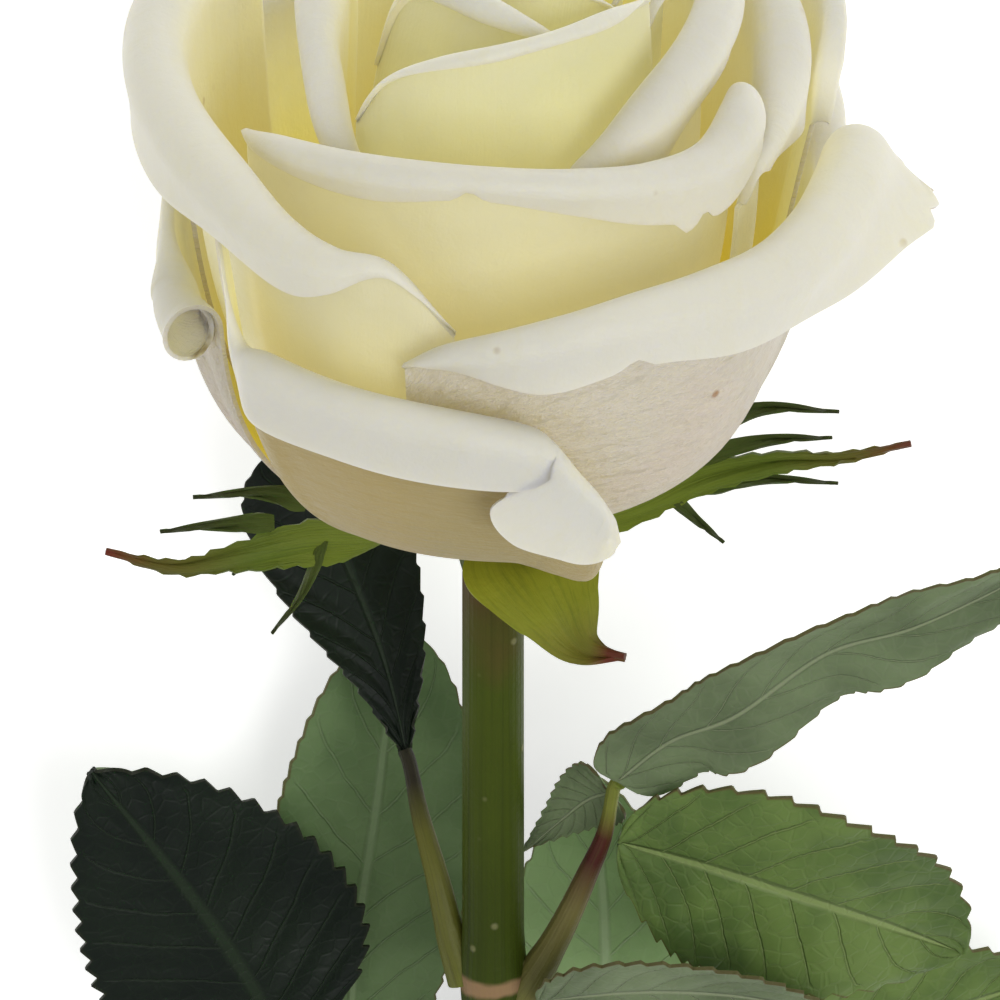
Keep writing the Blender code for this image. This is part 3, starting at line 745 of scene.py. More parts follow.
@dataclass(frozen=True)
class Petal:
    """A petal: where it is attached, how it leans at the neck of its roll, and its rim from left to right."""

    node: str
    layer: float  # 0 is the outermost
    lean: float
    rims: tuple[Rim, ...]
    shift: float = 0.0  # how far to the right its own axis stands at 50 mm up
    inner: Face = Face.INNER
    outer: Face = Face.OUTER
    wave: float = 0.35  # unevenness of its surface
    corner: float = 3.0  # how far its rim falls at its two sides
    thickness: float = 0.45
    tear: Optional[tuple[float, float, float]] = None  # from and to across the rim, and how deep it is torn
    nicks: tuple[tuple[float, float, float], ...] = ()  # place across, half width across and depth of each
    seed: int = 1

    BASE_RADIUS = 7.4
    BASE_LIFT = 2.0
    BASE_STEP_IN = 0.38
    BASE_STEP_UP = 1.15
    BASE_SLOPE = 10.0
    BASE_SLOPE_STEP = 6.0
    BASE_SLOPE_MOST = 80.0
    FULLNESS = 0.45
    SHIFT_HEIGHT = 50.0
    CORNER_WIDTH = 0.10  # how far from its side a petal's rim starts to fall and uncurl
    CORNER_UNCURL = 0.35
    CURL_WANDER = 10.0  # unevenness of the curl, in degrees, and of the roll and the flap, as shares
    ROLL_WANDER = 0.08
    FLAP_WANDER = 0.22
    LEAST_ROLL = 0.3
    TIGHTEN = 0.16  # how much a rim that rolls right round closes in on itself
    FLAP_LIFT = 0.03  # how much the flap turns up, in radians for each millimetre
    COLUMNS = 112
    ROWS = 54

    def surface(self, across: np.ndarray, up: np.ndarray) -> np.ndarray:
        """The petal's surface.

        Args:
            across: from its left side, 0, to its right side, 1.
            up: from its base, 0, over the neck to the end of its rolled rim, 1.

        Returns:
            Points (x, front, height) in millimetres.
        """
        turn, radius, height, roll, curl, flap, slant = smooth_line(self.rims, across * (len(self.rims) - 1)).T
        edge = np.minimum(across, 1 - across)
        rounding = (1 - soft_step(0, self.CORNER_WIDTH, edge)) ** 2
        height = height - self.corner * rounding
        level = 0 * across
        curl = curl * (1 - self.CORNER_UNCURL * rounding)
        curl = curl + self.CURL_WANDER * ripples(across, level, self.seed + 50)
        roll = np.maximum(roll, self.LEAST_ROLL) * (1 + self.ROLL_WANDER * ripples(across, level, self.seed + 60))
        flap = np.maximum(flap, 0) * (1 + self.FLAP_WANDER * ripples(across * 1.5, level, self.seed + 65))
        if self.tear:
            start, end, depth = self.tear
            ragged = soft_step(start, start + 0.02, across) * (1 - soft_step(end - 0.02, end, across))
            flap = flap - depth * ragged * (0.5 + 0.6 * ripples(across * 7, level, self.seed + 70))
        for place, half, depth in self.nicks:
            flap = flap - depth * np.maximum(0, 1 - np.abs(across - place) / half)
        flap = np.maximum(0, flap)
        base = np.array([self.BASE_RADIUS - self.BASE_STEP_IN * self.layer,
                         self.BASE_LIFT + self.BASE_STEP_UP * self.layer])
        lean = math.radians(self.lean)
        slope = math.radians(min(self.BASE_SLOPE + self.BASE_SLOPE_STEP * self.layer, self.BASE_SLOPE_MOST))
        hub = np.stack([radius, height - roll], axis=1)
        neck = hub + roll[:, None] * np.array([-math.sin(lean), math.cos(lean)])
        reach = self.FULLNESS * np.linalg.norm(neck - base, axis=1)[:, None]
        handle_low = base + reach * np.array([math.cos(slope), math.sin(slope)])
        handle_high = neck - reach * np.array([math.cos(lean), math.sin(lean)])
        t = np.clip(up / NECK, 0, 1)[:, None]
        body = ((1 - t) ** 3 * base + 3 * t * (1 - t) ** 2 * handle_low + 3 * t**2 * (1 - t) * handle_high
                + t**3 * neck)
        past = np.clip((up - NECK) / (1 - NECK), 0, 1)
        sweep = lean + np.radians(curl)
        arc = roll * sweep
        run = past * (arc + flap)
        angle = lean - np.minimum(run / arc, 1) * sweep
        tighten = 1 - self.TIGHTEN * past * (curl > 180)
        rolled = hub + (roll * tighten)[:, None] * np.stack([-np.sin(angle), np.cos(angle)], axis=1)
        beyond = np.maximum(run - arc, 0)
        last = -np.radians(curl) + self.FLAP_LIFT * beyond
        rolled = rolled + beyond[:, None] * np.stack([np.cos(last), np.sin(last)], axis=1)
        profile = np.where((up > NECK)[:, None], rolled, body)
        lift = self.wave * soft_step(0.12, 0.45, up) * ripples(across, up, self.seed)
        climb = (profile[:, 1] - base[1]) / (self.SHIFT_HEIGHT - base[1])
        out = profile[:, 0] + lift
        turned = np.radians(turn)
        aside = self.shift * climb + slant * past**2
        return np.stack([out * np.sin(turned) + aside, out * np.cos(turned), profile[:, 1]], axis=1)

    def build(self, wardrobe: Wardrobe) -> bpy.types.Object:
        """Models and dresses the petal."""
        sheet = Sheet(self.node + "_shaped", self.surface, self.COLUMNS, self.ROWS, self.thickness)
        thing = sheet.build()
        settle(thing, self.node, (wardrobe.of(self.outer), wardrobe.of(self.inner)))
        return thing


def rim_of(*rows: tuple[float, ...]) -> tuple[Rim, ...]:
    """Rim stations from rows of (turn, radius, height, roll, curl) and, where there is one, flap."""
    return tuple(Rim(*row) for row in rows)


HEART_FACES = {"inner": Face.HEART_INNER, "outer": Face.HEART_OUTER}


@dataclass
class Bloom:
    """The flower: the guard petals, the rolled petals inside them, and the tight bud in the middle."""

    bud_count: int = 6
    bud_turn: float = 137.5
    bud_first_turn: float = -150.0
    bud_layers: tuple[float, float] = (9.2, 15.2)
    bud_radii: tuple[float, float] = (8.3, 2.6)
    bud_heights: tuple[float, float] = (55.5, 57.5)
    bud_half_widths: tuple[float, float] = (62.0, 80.0)
    bud_rolls: tuple[float, float] = (0.5, 0.35)
    bud_drop: float = 3.5
    bud_lean: float = 94.0
    heart_shift: float = 5.5

    # The outermost petals.
    guards: tuple[Petal, ...] = (
        # The outer face of this petal carries painted shade.
        Petal("petal_front_left", 0.0, 80, rim_of(
            (-55, 30.6, 42.0, 0.3, 0), (-51.5, 31.2, 36.8, 0.3, 10), (-47.5, 32.0, 32.0, 0.3, 30),
            (-43, 32.6, 28.6, 0.8, 95, 1.4), (-37, 33.4, 28.8, 2.0, 108, 4.2), (-22, 34.0, 27.8, 2.1, 108, 4.2),
            (-6, 34.2, 26.6, 2.1, 108, 3.6), (5, 34.0, 25.0, 1.8, 108, 3.0), (9, 34.2, 23.4, 0.9, 108, 1.8, -0.5),
            (10.5, 34.2, 22.4, 0.8, 108, 4.0, -6.5), (13, 33.8, 20.2, 0.8, 106, 6.0, -6.0),
            (16, 33.0, 17.8, 0.8, 104, 5.4, -3.0), (18.5, 32.0, 15.6, 0.8, 104, 3.8, -1.0),
            (20.5, 30.6, 13.8, 0.6, 90, 1.6)), outer=Face.GUARD_PAINTED_SHADE, corner=0.0),
        Petal("petal_left_curl", 0.0, 85, rim_of(
            (-122, 30.6, 33.0, 0.4, 10), (-108, 30.4, 35.0, 0.4, 20), (-97, 29.8, 33.5, 0.4, 30),
            (-90, 29.4, 30.8, 0.5, 60, 0.4), (-84, 29.4, 28.6, 1.0, 105, 1.8), (-79, 29.2, 27.2, 1.8, 200, 0.6),
            (-74, 29.2, 26.6, 2.6, 320), (-70, 29.2, 26.2, 2.7, 335)), outer=Face.GUARD, corner=0.0),
        Petal("petal_front_right", 1.0, 82, rim_of(
            (-15, 30.2, 29.0, 0.3, 30), (-8, 31.5, 31.6, 0.8, 110, 0.6), (1, 32.8, 33.6, 1.67, 110, 2.32),
            (10, 33.2, 35, 2.29, 110, 3.26), (22, 33.5, 36.4, 2.46, 110, 3.35), (35, 33.6, 37.0, 2.46, 110, 3.95),
            (47, 34.5, 38.0, 2.8, 112, 3.6), (57, 34.8, 40.0, 3.0, 98, 4.6), (66, 34.6, 42.4, 3.2, 80, 5.6),
            (74, 33.8, 43.4, 3.0, 62, 8.2), (79, 33.0, 42.0, 2.4, 54, 5.2), (88, 31.6, 39.0, 1.6, 20, 2.0)),
            inner=Face.GUARD_INNER, outer=Face.GUARD, corner=0.0, tear=(0.78, 0.98, 2.6),
            nicks=((0.355, 0.02, 0.9), (0.89, 0.012, 1.6))),
        Petal("petal_under_right", 1.6, 84, rim_of(
            (96, 30.6, 35.0, 1.0, 60), (110, 31.5, 40, 2.11, 110, 1.16), (130, 32.8, 43, 2.82, 110, 1.55),
            (153, 33, 42, 2.99, 110, 1.64), (173, 32.4, 34.0, 1.6, 110)), outer=Face.GUARD, wave=0.15),
        Petal("petal_under_left", 1.0, 84, rim_of(
            (-181, 29.8, 39.0, 1.4, 90), (-165, 31.2, 43, 2.11, 110, 1.16), (-142, 31.8, 44, 2.64, 110, 1.45),
            (-116, 30.5, 42, 1.9, 110, 1.16), (-90, 28.8, 37.5, 1.0, 90)), outer=Face.GUARD, wave=0.15),
    )
    # The open petals with rolled rims, from the outside in.
    rolled: tuple[Petal, ...] = (
        Petal("petal_left", 2.2, 86, rim_of(
            (-128, 29.0, 48.0, 2.0, 110), (-108, 30, 51, 2.82, 110, 3.05), (-88, 30.4, 49.5, 3.17, 110, 3.74),
            (-66, 30.6, 47, 3.08, 110, 3.69), (-50, 31, 44.6, 2.73, 110, 3.1), (-36, 31.6, 41.4, 2.2, 110, 2.41),
            (-26, 32, 39.8, 1.41, 110, 1.58), (-17, 30.6, 38.6, 0.6, 100), (-7, 27.8, 31.5, 0.4, 10)),
            corner=0.0),
        Petal("petal_right_back", 2.2, 77, rim_of(
            (86, 29.8, 44.0, 0.7, 70), (98, 31, 51, 1.14, 110, 1.43), (122, 31.2, 52.5, 1.76, 110, 2.17),
            (146, 30.6, 50, 1.76, 110, 2.17), (166, 29.2, 43.0, 1.0, 90)), outer=Face.GUARD),
        Petal("petal_back", 3.2, 86, rim_of(
            (148, 25.6, 46.0, 1.2, 90), (170, 26.8, 51, 2.02, 110, 1.11), (195, 27, 51.5, 2.11, 110, 1.16),
            (222, 26.2, 48.0, 1.4, 100))),
        Petal("petal_right", 3.4, 88, rim_of(
            (58, 26.2, 41.0, 0.6, 60), (67, 26.8, 43.8, 1.2, 110, 1.4), (80, 26.2, 47, 2.0, 110, 2.8),
            (96, 25.8, 51.5, 2.1, 110, 2.8), (116, 25.4, 53, 1.8, 110, 2.2), (140, 24.8, 48.0, 1.2, 90)),),
        Petal("petal_front", 4.4, 88, rim_of(
            (-68, 23.8, 43.0, 0.4, 80), (-50, 24.4, 45.0, 1.1, 115, 0.8), (-24, 25.2, 46.2, 1.4, 115, 1.6),
            (-3, 25.6, 46.4, 1.2, 110, 1.4), (16, 26.0, 45.8, 1.4, 115, 1.8), (32, 26.2, 45.2, 1.58, 110, 2.87),
            (46, 26.4, 45.8, 2.11, 110, 3.36), (58, 26.0, 48.2, 2.4, 110, 2.4), (67, 24.5, 47.6, 1.3, 80, 1.3),
            (74, 22.8, 43.0, 0.4, 20)),
            corner=0.0, nicks=((0.325, 0.018, 1.3), (0.60, 0.02, -1.0), (0.63, 0.015, 1.0))),
        Petal("petal_inner_right", 5.6, 90, rim_of(
            (18, 19.4, 42.0, 0.7, 80), (28, 19.8, 45, 1.58, 110, 2.07), (40, 19.9, 48, 2.02, 110, 2.71),
            (54, 20.2, 51, 2.2, 110, 3.01), (74, 20.4, 54, 2.2, 110, 2.81), (100, 20.2, 55.5, 1.76, 110, 2.17),
            (124, 18.8, 53.0, 0.9, 90))),
        Petal("petal_inner_left", 5.6, 90, rim_of(
            (-128, 17.0, 53.0, 1.2, 100), (-104, 15.8, 54.5, 1.9, 110, 2.2), (-84, 15.7, 53.0, 2.0, 110, 2.6),
            (-62, 17.2, 49.5, 1.9, 110, 2.4), (-46, 18.8, 44.8, 1.5, 110, 1.8), (-34, 19.4, 40.0, 0.7, 80)),),
        Petal("petal_inner_back", 4.6, 90, rim_of(
            (122, 21.0, 50.0, 1.0, 100), (145, 21.4, 54, 1.67, 110, 0.92), (175, 21.6, 54.5, 1.85, 110, 1.02),
            (205, 21.4, 53, 1.58, 110, 0.87), (230, 20.8, 49.0, 1.0, 90))),
    )
    # The upright petals round the bud.
    heart: tuple[Petal, ...] = (
        Petal("petal_heart_front", 6.8, 93, rim_of(
            (-50, 15.9, 44.5, 0.4, 20), (-36, 16.2, 49.6, 0.5, 60), (-18, 16.0, 52.4, 0.6, 90),
            (3, 15.4, 53.8, 0.7, 100), (25, 14.9, 54.6, 0.7, 100), (46, 15.0, 55.2, 0.7, 90),
            (66, 15.4, 54.6, 0.4, 20)), wave=0.2, corner=0.0, **HEART_FACES),
        Petal("petal_heart_left", 7.8, 94, rim_of(
            (-97, 15.6, 45.0, 0.4, 0), (-88, 14.4, 51.5, 0.5, 30), (-74, 12.8, 55.0, 0.8, 90),
            (-57, 11.4, 56.0, 1.1, 130), (-38, 11.0, 55.7, 1.1, 130), (-20, 10.9, 54.6, 0.9, 110),
            (-2, 11.0, 52.8, 0.7, 60), (14, 11.0, 49.5, 0.4, 0)), heart_shift, wave=0.15,
            corner=0.0, **HEART_FACES),
        Petal("petal_heart_right", 7.8, 93, rim_of(
            (64, 9.3, 52.0, 0.4, 30), (82, 9.8, 55.5, 0.7, 110), (102, 10.1, 56.5, 0.8, 120),
            (128, 10.3, 56.5, 0.8, 110), (152, 10.3, 54.0, 0.4, 30)), heart_shift, wave=0.12,
            corner=1.0, **HEART_FACES),
        Petal("petal_heart_back", 6.8, 92, rim_of(
            (142, 14.0, 53.5, 0.6, 40), (160, 14.4, 56.5, 1.3, 130), (185, 14.4, 57.0, 1.5, 140),
            (215, 14.0, 56.5, 1.2, 130), (240, 13.6, 53.5, 0.6, 40)), 3.0, wave=0.15, corner=1.0, **HEART_FACES),
    )

    def bud(self) -> list[Petal]:
        """The bud's petals, wound round each other from the outside in."""
        petals = []
        for number in range(self.bud_count):
            share = number / (self.bud_count - 1)
            layer, radius, height, half, roll = (
                first + (last - first) * share for first, last in (
                    self.bud_layers, self.bud_radii, self.bud_heights, self.bud_half_widths, self.bud_rolls))
            middle = self.bud_first_turn + self.bud_turn * number
            rims = tuple(
                Rim(middle + side * half, radius, height - self.bud_drop * side**2, roll, 90 - 60 * abs(side))
                for side in (-1.0, -0.5, 0.0, 0.5, 1.0))
            petals.append(Petal(
                f"petal_bud_{number + 1}", layer, self.bud_lean, rims, self.heart_shift, Face.HEART_INNER,
                Face.HEART_OUTER, 0.05, 0.0, 0.3, seed=40 + number))
        return petals

    def build(self, wardrobe: Wardrobe) -> None:
        """Models every petal."""
        for number, petal in enumerate((*self.guards, *self.rolled, *self.heart)):
            replace(petal, seed=3 + 2 * number).build(wardrobe)
        for petal in self.bud():
            petal.build(wardrobe)


# ---- Sepals and leaves ----


@dataclass(frozen=True)
class Blade:
    """A leaf-like blade along a midline, with its outline, its fold and the teeth on its edge."""

    name: str
    midline: tuple[Point, ...]  # from its base to its tip
    across: Point
    width: float
    fold: float = 0.12  # rise of its edges above the midline, as a part of the half width
    across_base: Optional[Point] = None
    outline: str = "leaflet"
    powers: tuple[float, float] = (0.60, 0.85)  # how fast a leaflet widens from its base and narrows to its tip
    teeth: int = 0
    tooth_depth: float = 0.0
    quilt: float = 0.0  # how far the surface swells between its side veins
    wave: float = 0.0  # how far its edge waves up and down
    wave_count: float = 2.0
    columns: int = 24
    rows: int = 192
    thickness: float = 0.35
    seed: int = 1

    def half_width(self, share: np.ndarray) -> np.ndarray:
        """The half width at a share of the length, as a part of the widest."""
        if self.outline == "leaflet":
            first, last = self.powers
            peak = first / (first + last)
            inside = np.clip(share, 0, 1)
            shape = (inside / peak) ** first * ((1 - inside) / (1 - peak)) ** last
        elif self.outline == "hood":
            shape = soft_step(-0.45, 0.22, share) * (1 - np.clip(share, 0, 1) ** 1.25) ** 1.15
        else:
            shape = np.minimum(1.0, 0.62 + 3 * share) * (1 - share) ** 1.1
        return np.maximum(0.03, shape)

    def surface(self, across: np.ndarray, up: np.ndarray) -> np.ndarray:
        """The blade's surface, from left to right and from its base to its tip."""
        count = len(self.midline) - 1
        middle = smooth_line(self.midline, up * count)
        tangent = heading(self.midline, up * count, 0.02 * count)
        twist = np.clip(2 * up, 0, 1)[:, None] if self.across_base else 1.0
        first = np.array(self.across_base or self.across, float)
        wanted = twist * np.array(self.across, float) + (1 - twist) * first
        side = unit(wanted - np.sum(wanted * tangent, axis=1)[:, None] * tangent)
        rise = np.cross(side, tangent)
        offset = 2 * across - 1
        out = np.abs(offset)
        half = self.width / 2 * self.half_width(up)
        if self.teeth:
            saw = (up * self.teeth + 0.15 * (offset > 0)) % 1.0
            bite = np.where(saw < 0.8, saw / 0.8, (1 - saw) / 0.2) - 0.5
            half = half + self.tooth_depth * bite * out**6 * soft_step(0.02, 0.1, up) * (1 - soft_step(0.93, 1, up))
        lift = self.fold * half * out**2
        if self.quilt:
            run = (up - out * VEIN_SLANT) * VEIN_PAIRS
            swell = np.sin(math.pi * (run % 1.0)) ** 0.7
            lift = lift + self.quilt * swell * soft_step(0.04, 0.25, out) * (1 - soft_step(0.8, 1, out))
        if self.wave:
            lift = lift + self.wave * out**2 * np.sin(2 * math.pi * self.wave_count * up + 1.3 * self.seed
                                                      + 1.7 * (offset > 0)) * soft_step(0, 0.2, up)
        lift = lift + 0.25 * ripples(across, up, self.seed, 5, 2.0) * soft_step(0, 0.3, up)
        return middle + (half * offset)[:, None] * side + lift[:, None] * rise

    def rises_to_front(self) -> bool:
        """Whether the side towards which its edges fold looks to the front."""
        run = np.subtract(self.midline[-1], self.midline[0])
        return bool(np.cross(self.across, run)[1] > 0)

    def build(self) -> bpy.types.Object:
        """Models the blade."""
        return Sheet(self.name, self.surface, self.columns, self.rows, self.thickness).build()


@dataclass
class Calyx:
    """The receptacle and the sepals round it, some with small side lobes."""

    @staticmethod
    def lobe(midline: tuple[Point, ...], across: Point, width: float) -> Blade:
        """A narrow side lobe."""
        return Blade("lobe", midline, across, width, 0.2, outline="sepal", columns=6, rows=20, thickness=0.3)

    def sepals(self) -> list[tuple[Blade, list[Blade]]]:
        """Each sepal's main blade, named for its node, and its side lobes."""
        plain = {"outline": "sepal", "columns": 12, "rows": 48, "thickness": 0.5}
        return [
            (Blade("sepal_left", (
                (-6.2, 1.6, 0.2), (-11, 3, -0.4), (-17, 5, 0.2), (-23, 6.5, -0.4), (-29, 7, -1.2), (-35.4, 7, 0.4)),
                (-0.2, -0.3, 0.93), 7.6, 0.2, (0, 1, 0.1), teeth=14, tooth_depth=0.4, **plain), [
                    self.lobe(((-17, 5, 4.4), (-21, 5.5, 5.6), (-27.4, 6, 5.4)), (0.2, -0.2, 0.9), 2.6),
                    self.lobe(((-20, 5.5, 2.6), (-25, 6, 2.6), (-30.4, 7, 2.4)), (0.1, -0.2, 0.9), 2.2),
                    self.lobe(((-15.5, 4.6, 0.4), (-17.4, 5, -4.6), (-20.3, 6, -8.4)), (1, 0.1, -0.3), 1.3),
                    self.lobe(((-21, 6, 0.4), (-22.8, 6, -1.4), (-23.8, 6, -2.4)), (1, 0.3, 0), 1.0)]),
            (Blade("sepal_front", (
                (2.8, 6.4, 1.2), (4.2, 10.5, 0.0), (6.0, 13.5, -2.4), (8.2, 15.4, -5.2), (12.0, 16.8, -5.6)),
                (1, -0.15, 0.35), 15.0, -0.12, (1, -0.2, 0.1), **{**plain, "outline": "hood"}), []),
            (Blade("sepal_right", (
                (6.4, 1.0, 0.2), (12, 1.5, 2.0), (19, 2, 5.4), (26, 3, 7.6), (32, 3, 8.0), (38.2, 3, 9.4)),
                (-0.2, -0.2, 0.95), 5.2, 0.2, (-0.1, 0.5, 0.9), teeth=14, tooth_depth=0.35, **plain), [
                    self.lobe(((17, 2.2, 8.6), (24, 2.4, 12.6), (31.6, 3, 12.6)), (0.1, -0.2, 0.9), 2.8),
                    self.lobe(((18, 2.2, 7.4), (25, 2.6, 9.6), (31, 3, 10.0)), (0.1, -0.2, 0.9), 2.2),
                    self.lobe(((19, 2, 4.4), (25, 2.4, 5.6), (31.6, 3, 5.4)), (0.1, -0.2, 0.9), 1.8),
                    self.lobe(((15.6, 1.6, 4.0), (18.4, 2, 1.6), (21.2, 3, -0.6)), (0.7, 0, 0.6), 1.8)]),
            (Blade("sepal_under_right", (
                (4.2, -5.0, 0.2), (10, -10, -0.5), (17, -14, -0.5), (24, -18, -2.6)),
                (0.8, 0.8, 0.3), 6.5, 0.2, (0.7, 0.7, 0), teeth=12, tooth_depth=0.3, **plain), []),
            (Blade("sepal_under_left", (
                (-3.2, -5.8, 0.2), (-5, -12, -0.6), (-6, -19, 0.5), (-6, -25, 4)),
                (1, -0.4, 0.2), 6.5, 0.2, (0.9, -0.4, 0), teeth=12, tooth_depth=0.3, **plain), []),
        ]

    def build(self, wardrobe: Wardrobe) -> None:
        """Models and dresses the calyx."""
        skin, lobe_skin = wardrobe.of(Green.SEPAL), wardrobe.of(Green.LOBE)
        for blade, lobes in self.sepals():
            parts = [one.build() for one in (replace(blade, name=blade.name + "_shaped"), *lobes)]
            own = wardrobe.of(Green.HOOD) if blade.outline == "hood" else skin
            for part in parts:
                for slot in range(2):
                    part.data.materials[slot] = own if part is parts[0] else lobe_skin
            settle(join(parts), blade.name, ())
        profile = ((-4.7, 2.85), (-3.0, 3.3), (-1.4, 4.4), (0.0, 5.1), (1.2, 5.4), (2.4, 6.0), (6.0, 5.0),
                   (10.0, 3.7), (14.0, 2.4), (18.0, 1.1))
        hip = Tube("receptacle_shaped", [(0, 0, height) for height, _ in profile], [radius for _, radius in profile],
                   40, 50).build()
        settle(hip, "receptacle", (wardrobe.of(Green.HIP),))


@dataclass
class Foliage:
    """The leaflets and the stalks that carry them."""

    def leaflets(self) -> list[tuple[Blade, Green]]:
        """Each leaflet, named for its node, with the finish of its face towards the front."""
        toothed = {"teeth": 17, "tooth_depth": 0.9, "quilt": 0.35}
        dark, middle, pale, under = Green.DARK, Green.MIDDLE, Green.PALE_TOP, Green.UNDER
        return [
            (Blade("leaflet_behind_bloom", ((-7.8, -8.8, -29.8), (-10.3, -13, -20), (-14.7, -18, -10),
                                            (-17.7, -21, -1.0)), (1, -0.35, 0.3), 15.5,
                   powers=(1.25, 0.40), teeth=15, tooth_depth=0.35, quilt=0.3), dark),
            (Blade("leaflet_long_right", ((11.6, 2.8, -25.0), (16.5, 6, -19.2), (22.5, 8, -15.6), (30.5, 10, -8.6),
                                          (38.5, 10.5, -5.8), (47, 9, -2.0), (55, 7, 2.5)),
                   (-0.35, 0.35, 0.87), 11.0, 0.12, powers=(0.22, 0.42), wave=0.9, wave_count=3.1, teeth=24,
                   tooth_depth=0.3, quilt=0.25), pale),
            (Blade("leaflet_small", ((10.6, 1.0, -27.2), (8.6, -0.8, -29.0), (6.2, -2.6, -32.0), (2.9, -5.0, -36.2)),
                   (-0.55, -0.1, 0.8), 7.0, 0.15, powers=(0.22, 1.0), teeth=12, tooth_depth=0.3, quilt=0.15), pale),
            (Blade("leaflet_broad_right", ((11.8, 1.2, -32.2), (22, 3.5, -34.3), (33, 2, -39), (44, -4, -46.5)),
                   (0.2, 0.25, 0.92), 23, 0.12, powers=(0.50, 0.62), wave=0.5, **toothed), middle),
            (Blade("leaflet_dark_left", ((-19.9, -13.4, -61.4), (-24.5, -11.5, -51), (-30.5, -8.8, -40),
                                         (-37.6, -6, -28.6)), (0.8, -0.1, 0.6), 26, 0.10,
                   powers=(0.45, 0.80), **toothed), dark),
            (Blade("leaflet_pale_left", ((-14.0, -16.6, -67), (-13.0, -19, -52), (-11.0, -19.5, -38),
                                         (-9, -19, -20)), (1, -0.1, 0.1), 20, -0.1, powers=(0.5, 0.5),
                   teeth=24, tooth_depth=0.3, quilt=-0.3), under),
            (Blade("leaflet_outer_left", ((-16.5, -15.0, -69), (-28, -19, -72), (-41, -22.5, -80),
                                          (-52, -23, -90)), (0.4, -0.3, 1), 22, 0.12, **toothed), dark),
            (Blade("leaflet_low_left", ((-9.8, -11.5, -80), (-19, -17, -89), (-30, -20.5, -101),
                                        (-38, -22, -112)), (0.7, -0.4, 0.7), 19, 0.12, **toothed), dark),
            (Blade("leaflet_low_inner_left", ((-6.2, -12.0, -78), (-1, -17, -72), (3, -19.5, -62),
                                              (5, -20, -52)), (1, 0.1, 0.3), 15, -0.1, teeth=20,
                   tooth_depth=0.4, quilt=-0.25), under),
            (Blade("leaflet_tip_right", ((24.5, -9.5, -61), (33, -11, -59), (43, -13, -57), (54, -16, -55)),
                   (0.4, 0.1, 0.9), 22, 0.12, **toothed), middle),
            (Blade("leaflet_front_right", ((4.4, 3.6, -47.6), (13, 6.0, -45.2), (23, 6.6, -45.6), (33, 4.0, -49.5)),
                   (0.1, 0.6, 0.8), 13, 0.12, powers=(0.5, 0.8), **toothed), pale),
            # Its face towards the front is the lighter copy of the underside, with painted light.
            (Blade("leaflet_pale_right", ((12.5, -8.5, -72), (11, -14, -60), (10.5, -17, -47), (9.5, -17, -34)),
                   (1, 0.1, -0.1), 21, -0.1, teeth=22, tooth_depth=0.4, quilt=-0.25), Green.UNDER_LIT),
            (Blade("leaflet_outer_right", ((12.5, -7.0, -83), (24, -12, -86), (37, -17, -92), (49, -20, -101)),
                   (0.3, 0.3, 1), 20, 0.12, powers=(0.8, 0.85), **toothed), dark),
            (Blade("leaflet_low_right", ((8.0, -7.5, -90), (14, -14, -101), (21, -18.5, -112),
                                         (26, -19.5, -123)), (1, -0.2, 0.3), 16, 0.12, powers=(0.8, 0.85),
                   **toothed), dark),
        ]

    def stalks(self) -> list[tuple[str, tuple[Point, ...], float, float, Green]]:
        """Each stalk's node, its line from the stem outwards, its radius at each end and its finish."""
        return [
            ("stalk_upper_left", ((-2.4, -0.4, -47.5), (-4.0, -1.2, -43.0), (-5.2, -2.5, -38), (-6.8, -5.5, -33),
                                  (-7.8, -8.2, -29.0), (-8.3, -9.0, -27.8)), 1.3, 0.7, Green.STALK_DARK),
            ("stalk_upper_right", ((2.2, 0.2, -49.5), (4.4, 0.7, -45.5), (6.6, 1.0, -41.0), (8.8, 1.2, -35.6),
                                   (10.4, 1.8, -31.0), (11.2, 2.6, -26.0), (11.8, 3.0, -25.2)), 1.4, 0.65,
             Green.STALK),
            ("stalk_lower_left", ((-1.6, -1.6, -90), (-3.6, -4.6, -87), (-7, -9.5, -80), (-12.5, -13.5, -71.5),
                                  (-16.5, -14, -66.5), (-20.0, -13.4, -61.2)), 1.5, 0.7, Green.STALK),
            ("stalk_lower_right", ((1.8, -1.0, -99), (4.2, -2.8, -96), (8.2, -5.5, -87.5), (13.5, -6.5, -74),
                                   (19, -8, -66), (25.0, -9.7, -60.8)), 1.5, 0.7, Green.STALK),
        ]

    def build(self, wardrobe: Wardrobe) -> None:
        """Models and dresses the leaves."""
        for seed, (blade, face) in enumerate(self.leaflets(), 1):
            back = Green.DARK if face in (Green.UNDER, Green.UNDER_LIT) else Green.UNDER
            thing = replace(blade, name=blade.name + "_shaped", seed=seed).build()
            finishes = (wardrobe.of(face), wardrobe.of(back))
            settle(thing, blade.name, finishes[::-1] if blade.rises_to_front() else finishes)
        for node, line, start, end, finish in self.stalks():
            thing = Tube(node + "_shaped", line, (start * 1.5, start, (start + end) / 2, end, end), 20, 60).build()
            settle(thing, node, (wardrobe.of(finish),))


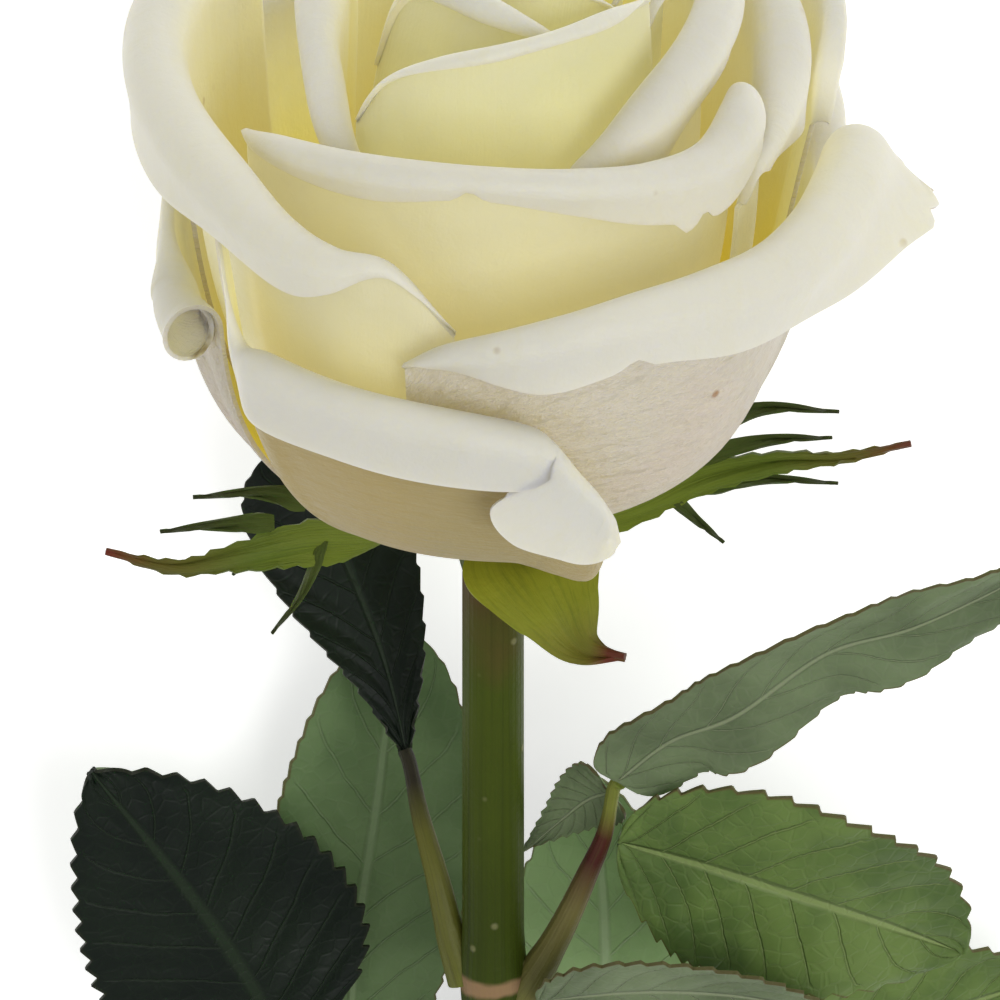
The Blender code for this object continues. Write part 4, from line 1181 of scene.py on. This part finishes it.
@dataclass
class Stem:
    """The stem with its swollen leaf nodes, its cut end and its prickles."""

    profile: tuple[tuple[float, float], ...] = (
        (-338, 3.6), (-250, 3.4), (-180, 3.2), (-100, 3.05), (-97, 3.4), (-92, 3.1), (-89, 3.4), (-84, 3.0),
        (-50, 2.95), (-46.5, 3.2), (-42, 2.9), (-5.0, 2.85))
    prickles: tuple[tuple[float, float], ...] = ((-128, -60), (-165, 75), (-206, -20), (-248, 50))
    prickle_length: float = 4.6
    prickle_radius: float = 1.5
    prickle_hook: float = 2.4
    prickle_gap: float = 0.6
    prickle_flare: float = 1.25  # how much wider a prickle's foot is than its radius
    prickle_root: float = 1.0  # how far the foot reaches into the skin
    prickle_tip: float = 0.05

    def build(self, wardrobe: Wardrobe) -> None:
        """Models and dresses the stem and its prickles."""
        heights, radii = zip(*self.profile)
        rings = 420
        shares = np.linspace(0, 1, rings)
        along = heights[0] + shares * (heights[-1] - heights[0])
        line = [(0.0, 0.0, heights[0]), (0.0, 0.0, heights[-1])]
        thing = Tube("stem_shaped", line, np.interp(along, heights, radii), 48, rings).build()
        add_slots(thing)
        for face in thing.data.polygons:
            face.material_index = int(len(face.vertices) > 4)
        settle(thing, "stem", (wardrobe.of(Green.STEM), wardrobe.of(Green.PITH)))
        for number, (height, turn) in enumerate(self.prickles, 1):
            foot = float(np.interp(height, heights, radii)) + self.prickle_gap - self.prickle_root
            angle = math.radians(turn)
            points, widths = [], []
            for share in np.linspace(0, 1, 6):
                out = foot + (self.prickle_length + self.prickle_root) * share
                points.append((out * math.sin(angle), out * math.cos(angle), height - self.prickle_hook * share**2))
                widths.append(self.prickle_radius * self.prickle_flare * (1 - share) ** 0.9 + self.prickle_tip)
            thing = Tube(f"prickle_{number}_shaped", points, widths, 20, 24).build()
            settle(thing, f"prickle_{number}", (wardrobe.of(Green.PRICKLE),))


# ---- The studio ----


@dataclass
class Studio:
    """The floor, the lights and the camera, which looks down on the lying rose."""

    tilt: float = 25.0  # how far the view leans over towards the bloom from square on
    width: float = 0.092  # what the camera sees, across
    right: float = 0.64  # where it looks, right of the petals' attachment, in millimetres
    up: float = 2.1
    distance: float = 1.0
    key: tuple[Point, float, float] = ((0.50, 0.08, 1.15), 0.7, 7.2)  # where it stands from the bloom, size, power
    fill: tuple[Point, float, float] = ((-0.6, -0.2, 0.9), 1.2, 2.0)
    ambient: float = 0.43

    def build(self) -> None:
        """Sets the stage."""
        bpy.ops.mesh.primitive_plane_add(size=6, location=(0, 0, -0.0002))
        floor = bpy.context.object
        floor.name = "floor"
        floor.data.materials.append(PlainFinish("pale_floor", (0.9, 0.9, 0.9), 0.7, 0.55).make())
        lean = math.radians(self.tilt)
        back = math.cos(lean) * AXES.front + math.sin(lean) * AXES.along
        up = math.cos(lean) * AXES.along - math.sin(lean) * AXES.front
        target = AXES.origin + self.right * MM * AXES.right + self.up * MM * up
        camera = bpy.data.objects.new("camera", bpy.data.cameras.new("camera"))
        bpy.context.scene.collection.objects.link(camera)
        columns = np.column_stack([AXES.right, up, back, target + back * self.distance])
        camera.matrix_world = Matrix([*columns.tolist(), (0, 0, 0, 1)])
        camera.data.lens = camera.data.sensor_width * self.distance / self.width
        camera.data.clip_start = 0.01
        bpy.context.scene.camera = camera
        for name, (place, size, power) in (("key", self.key), ("fill", self.fill)):
            self.light(name, Vector(place), size, power)
        world = bpy.data.worlds.new("studio")
        world.use_nodes = True
        sky = world.node_tree.nodes["Background"]
        sky.inputs["Color"].default_value = (1, 1, 1, 1)
        sky.inputs["Strength"].default_value = self.ambient
        bpy.context.scene.world = world
        bpy.context.scene.view_settings.view_transform = "Standard"

    def light(self, name: str, place: Vector, size: float, power: float) -> None:
        """Adds a soft square light that faces the bloom."""
        lamp = bpy.data.lights.new(name, "AREA")
        lamp.size, lamp.energy = size, power
        thing = bpy.data.objects.new(name, lamp)
        bpy.context.scene.collection.objects.link(thing)
        aim = Vector(AXES.origin) + Vector((0, 0.02, 0))
        thing.location = aim + place
        thing.rotation_euler = (-place).to_track_quat("-Z", "Y").to_euler()


def main() -> None:
    """Builds the rose and its studio."""
    logging.basicConfig(level=logging.INFO, format="%(message)s")
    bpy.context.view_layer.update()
    wardrobe = Wardrobe()
    Bloom().build(wardrobe)
    Calyx().build(wardrobe)
    Foliage().build(wardrobe)
    Stem().build(wardrobe)
    Studio().build()


if __name__ == "__main__":
    main()
